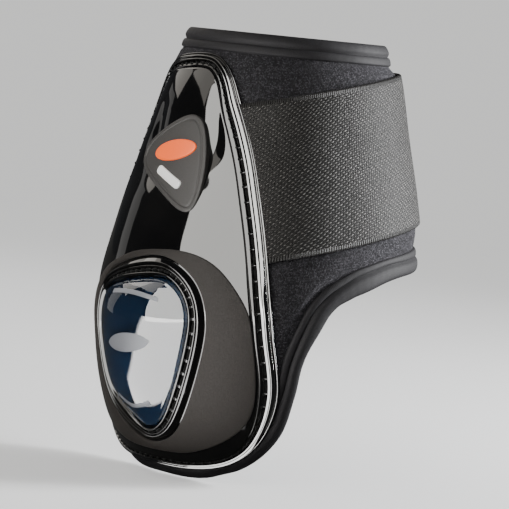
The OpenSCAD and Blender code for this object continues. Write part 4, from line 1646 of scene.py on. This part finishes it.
# ---------------------------------------------------------------- floor
def add_floor():
    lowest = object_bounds()[0].z
    mesh = bpy.data.meshes.new("floor")
    bm = bmesh.new()
    bmesh.ops.create_grid(bm, x_segments=2, y_segments=2, size=6.0)
    bm.to_mesh(mesh)
    bm.free()
    floor = bpy.data.objects.new("floor", mesh)
    bpy.context.scene.collection.objects.link(floor)
    floor.location = (0, 0, lowest - 0.0005)
    mesh.materials.append(floor_sweep())
    floor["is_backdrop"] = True


# ---------------------------------------------------------------- camera
CAMERA_AZIMUTH = math.radians(45.0)
CAMERA_DISTANCE = 1.0 * SCALE
CAMERA_ROLL = math.radians(5.7)
AIM_ASIDE, AIM_DROP = -0.0044, 0.0825   # aim from the axis at the rim: to the right, down
SENSOR_WIDTH = 36
VIEW_WIDTH = 190.9                      # mm seen across at 1000 mm


def add_camera():
    """Level with the rim, looking slightly down."""
    sin, cos = math.sin(CAMERA_AZIMUTH), math.cos(CAMERA_AZIMUTH)
    rim = Vector((0, 0, RIM_Z * 0.001 * SCALE))
    place = Vector((sin, -cos, 0)) * CAMERA_DISTANCE + rim
    aim = Vector((cos, sin, 0)) * AIM_ASIDE * SCALE + rim - Vector((0, 0, AIM_DROP * SCALE))
    camera = bpy.data.objects.new("camera", bpy.data.cameras.new("camera"))
    bpy.context.scene.collection.objects.link(camera)
    camera.location = place
    camera.rotation_mode = "QUATERNION"
    turn = (aim - place).to_track_quat("-Z", "Y")
    camera.rotation_quaternion = turn @ Quaternion((0, 0, 1), CAMERA_ROLL)
    camera.data.sensor_width = SENSOR_WIDTH
    camera.data.lens = SENSOR_WIDTH * 1000 / VIEW_WIDTH
    camera.data.clip_start = 0.01
    camera.data.clip_end = 30
    bpy.context.scene.camera = camera


# ---------------------------------------------------------------- world and lights
def add_world():
    """The backdrop's colour for the camera, a dim blue-grey for everything else."""
    world = bpy.data.worlds.new("studio")
    bpy.context.scene.world = world
    world.use_nodes = True
    nodes, links = world.node_tree.nodes, world.node_tree.links
    nodes.clear()
    out = nodes.new("ShaderNodeOutputWorld")
    seen = nodes.new("ShaderNodeBackground")
    unseen = nodes.new("ShaderNodeBackground")
    seen.inputs["Color"].default_value = (*BACKDROP, 1)
    seen.inputs["Strength"].default_value = 1.0
    unseen.inputs["Color"].default_value = (0.5, 0.52, 0.56, 1)
    unseen.inputs["Strength"].default_value = 0.06
    rays = nodes.new("ShaderNodeLightPath")
    mix = nodes.new("ShaderNodeMixShader")
    links.new(rays.outputs["Is Camera Ray"], mix.inputs[0])
    links.new(unseen.outputs[0], mix.inputs[1])
    links.new(seen.outputs[0], mix.inputs[2])
    links.new(mix.outputs[0], out.inputs[0])


LIGHT_AIM = Vector((0, 0, -0.06))
WARM, AMBER = (1, 0.99, 0.95), (1, 0.95, 0.87)
# name, azimuth, elevation, distance, width, height, radiance, colour, lights diffuse, glossy
LIGHTS = [
    ("key_softbox", 15, 13, 0.6, 0.62, 0.50, 9.4, WARM, False, True),
    ("key_fill", 15, 17, 0.6, 0.62, 0.40, 3.6, WARM, True, False),
    ("upper_softbox", -50, 41, 0.7, 0.8, 0.34, 1.7, AMBER, True, True),
    ("upper_left_card", -94, 33, 0.7, 0.8, 0.34, 1.5, AMBER, False, True),
    ("left_card", -78, 6, 0.8, 0.22, 0.3, 0.4, (1, 0.98, 0.95), False, True),
    ("side_strip", 148, 12, 0.8, 0.2, 0.6, 100, (0.98, 0.99, 1), True, True),
    ("left_fill", -96, 18, 0.8, 0.5, 0.6, 2.0, (1, 1, 1), True, False),
    ("rear_fill", -160, 25, 0.8, 0.5, 0.5, 1.6, (1, 1, 1), True, False),
]


def add_light(name, azimuth, elevation, distance, width, height, radiance, color,
              diffuse, glossy):
    """A rectangular soft light; its power follows from its radiance and its size."""
    light = bpy.data.lights.new(name, "AREA")
    light.shape = "RECTANGLE"
    light.size = width
    light.size_y = height
    light.energy = radiance * PI * width * height
    light.color = color
    lamp = bpy.data.objects.new(name, light)
    bpy.context.scene.collection.objects.link(lamp)
    turn, rise = math.radians(azimuth), math.radians(elevation)
    way = Vector((math.sin(turn) * math.cos(rise), -math.cos(turn) * math.cos(rise),
                  math.sin(rise)))
    lamp.location = LIGHT_AIM + way * distance
    lamp.rotation_mode = "QUATERNION"
    lamp.rotation_quaternion = (LIGHT_AIM - lamp.location).to_track_quat("-Z", "Y")
    lamp.visible_diffuse = diffuse
    lamp.visible_glossy = glossy


add_floor()
add_camera()
add_world()
for light in LIGHTS:
    add_light(*light)

lo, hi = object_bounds()
SIZE["visual_box"] = [list(lo), list(hi)]
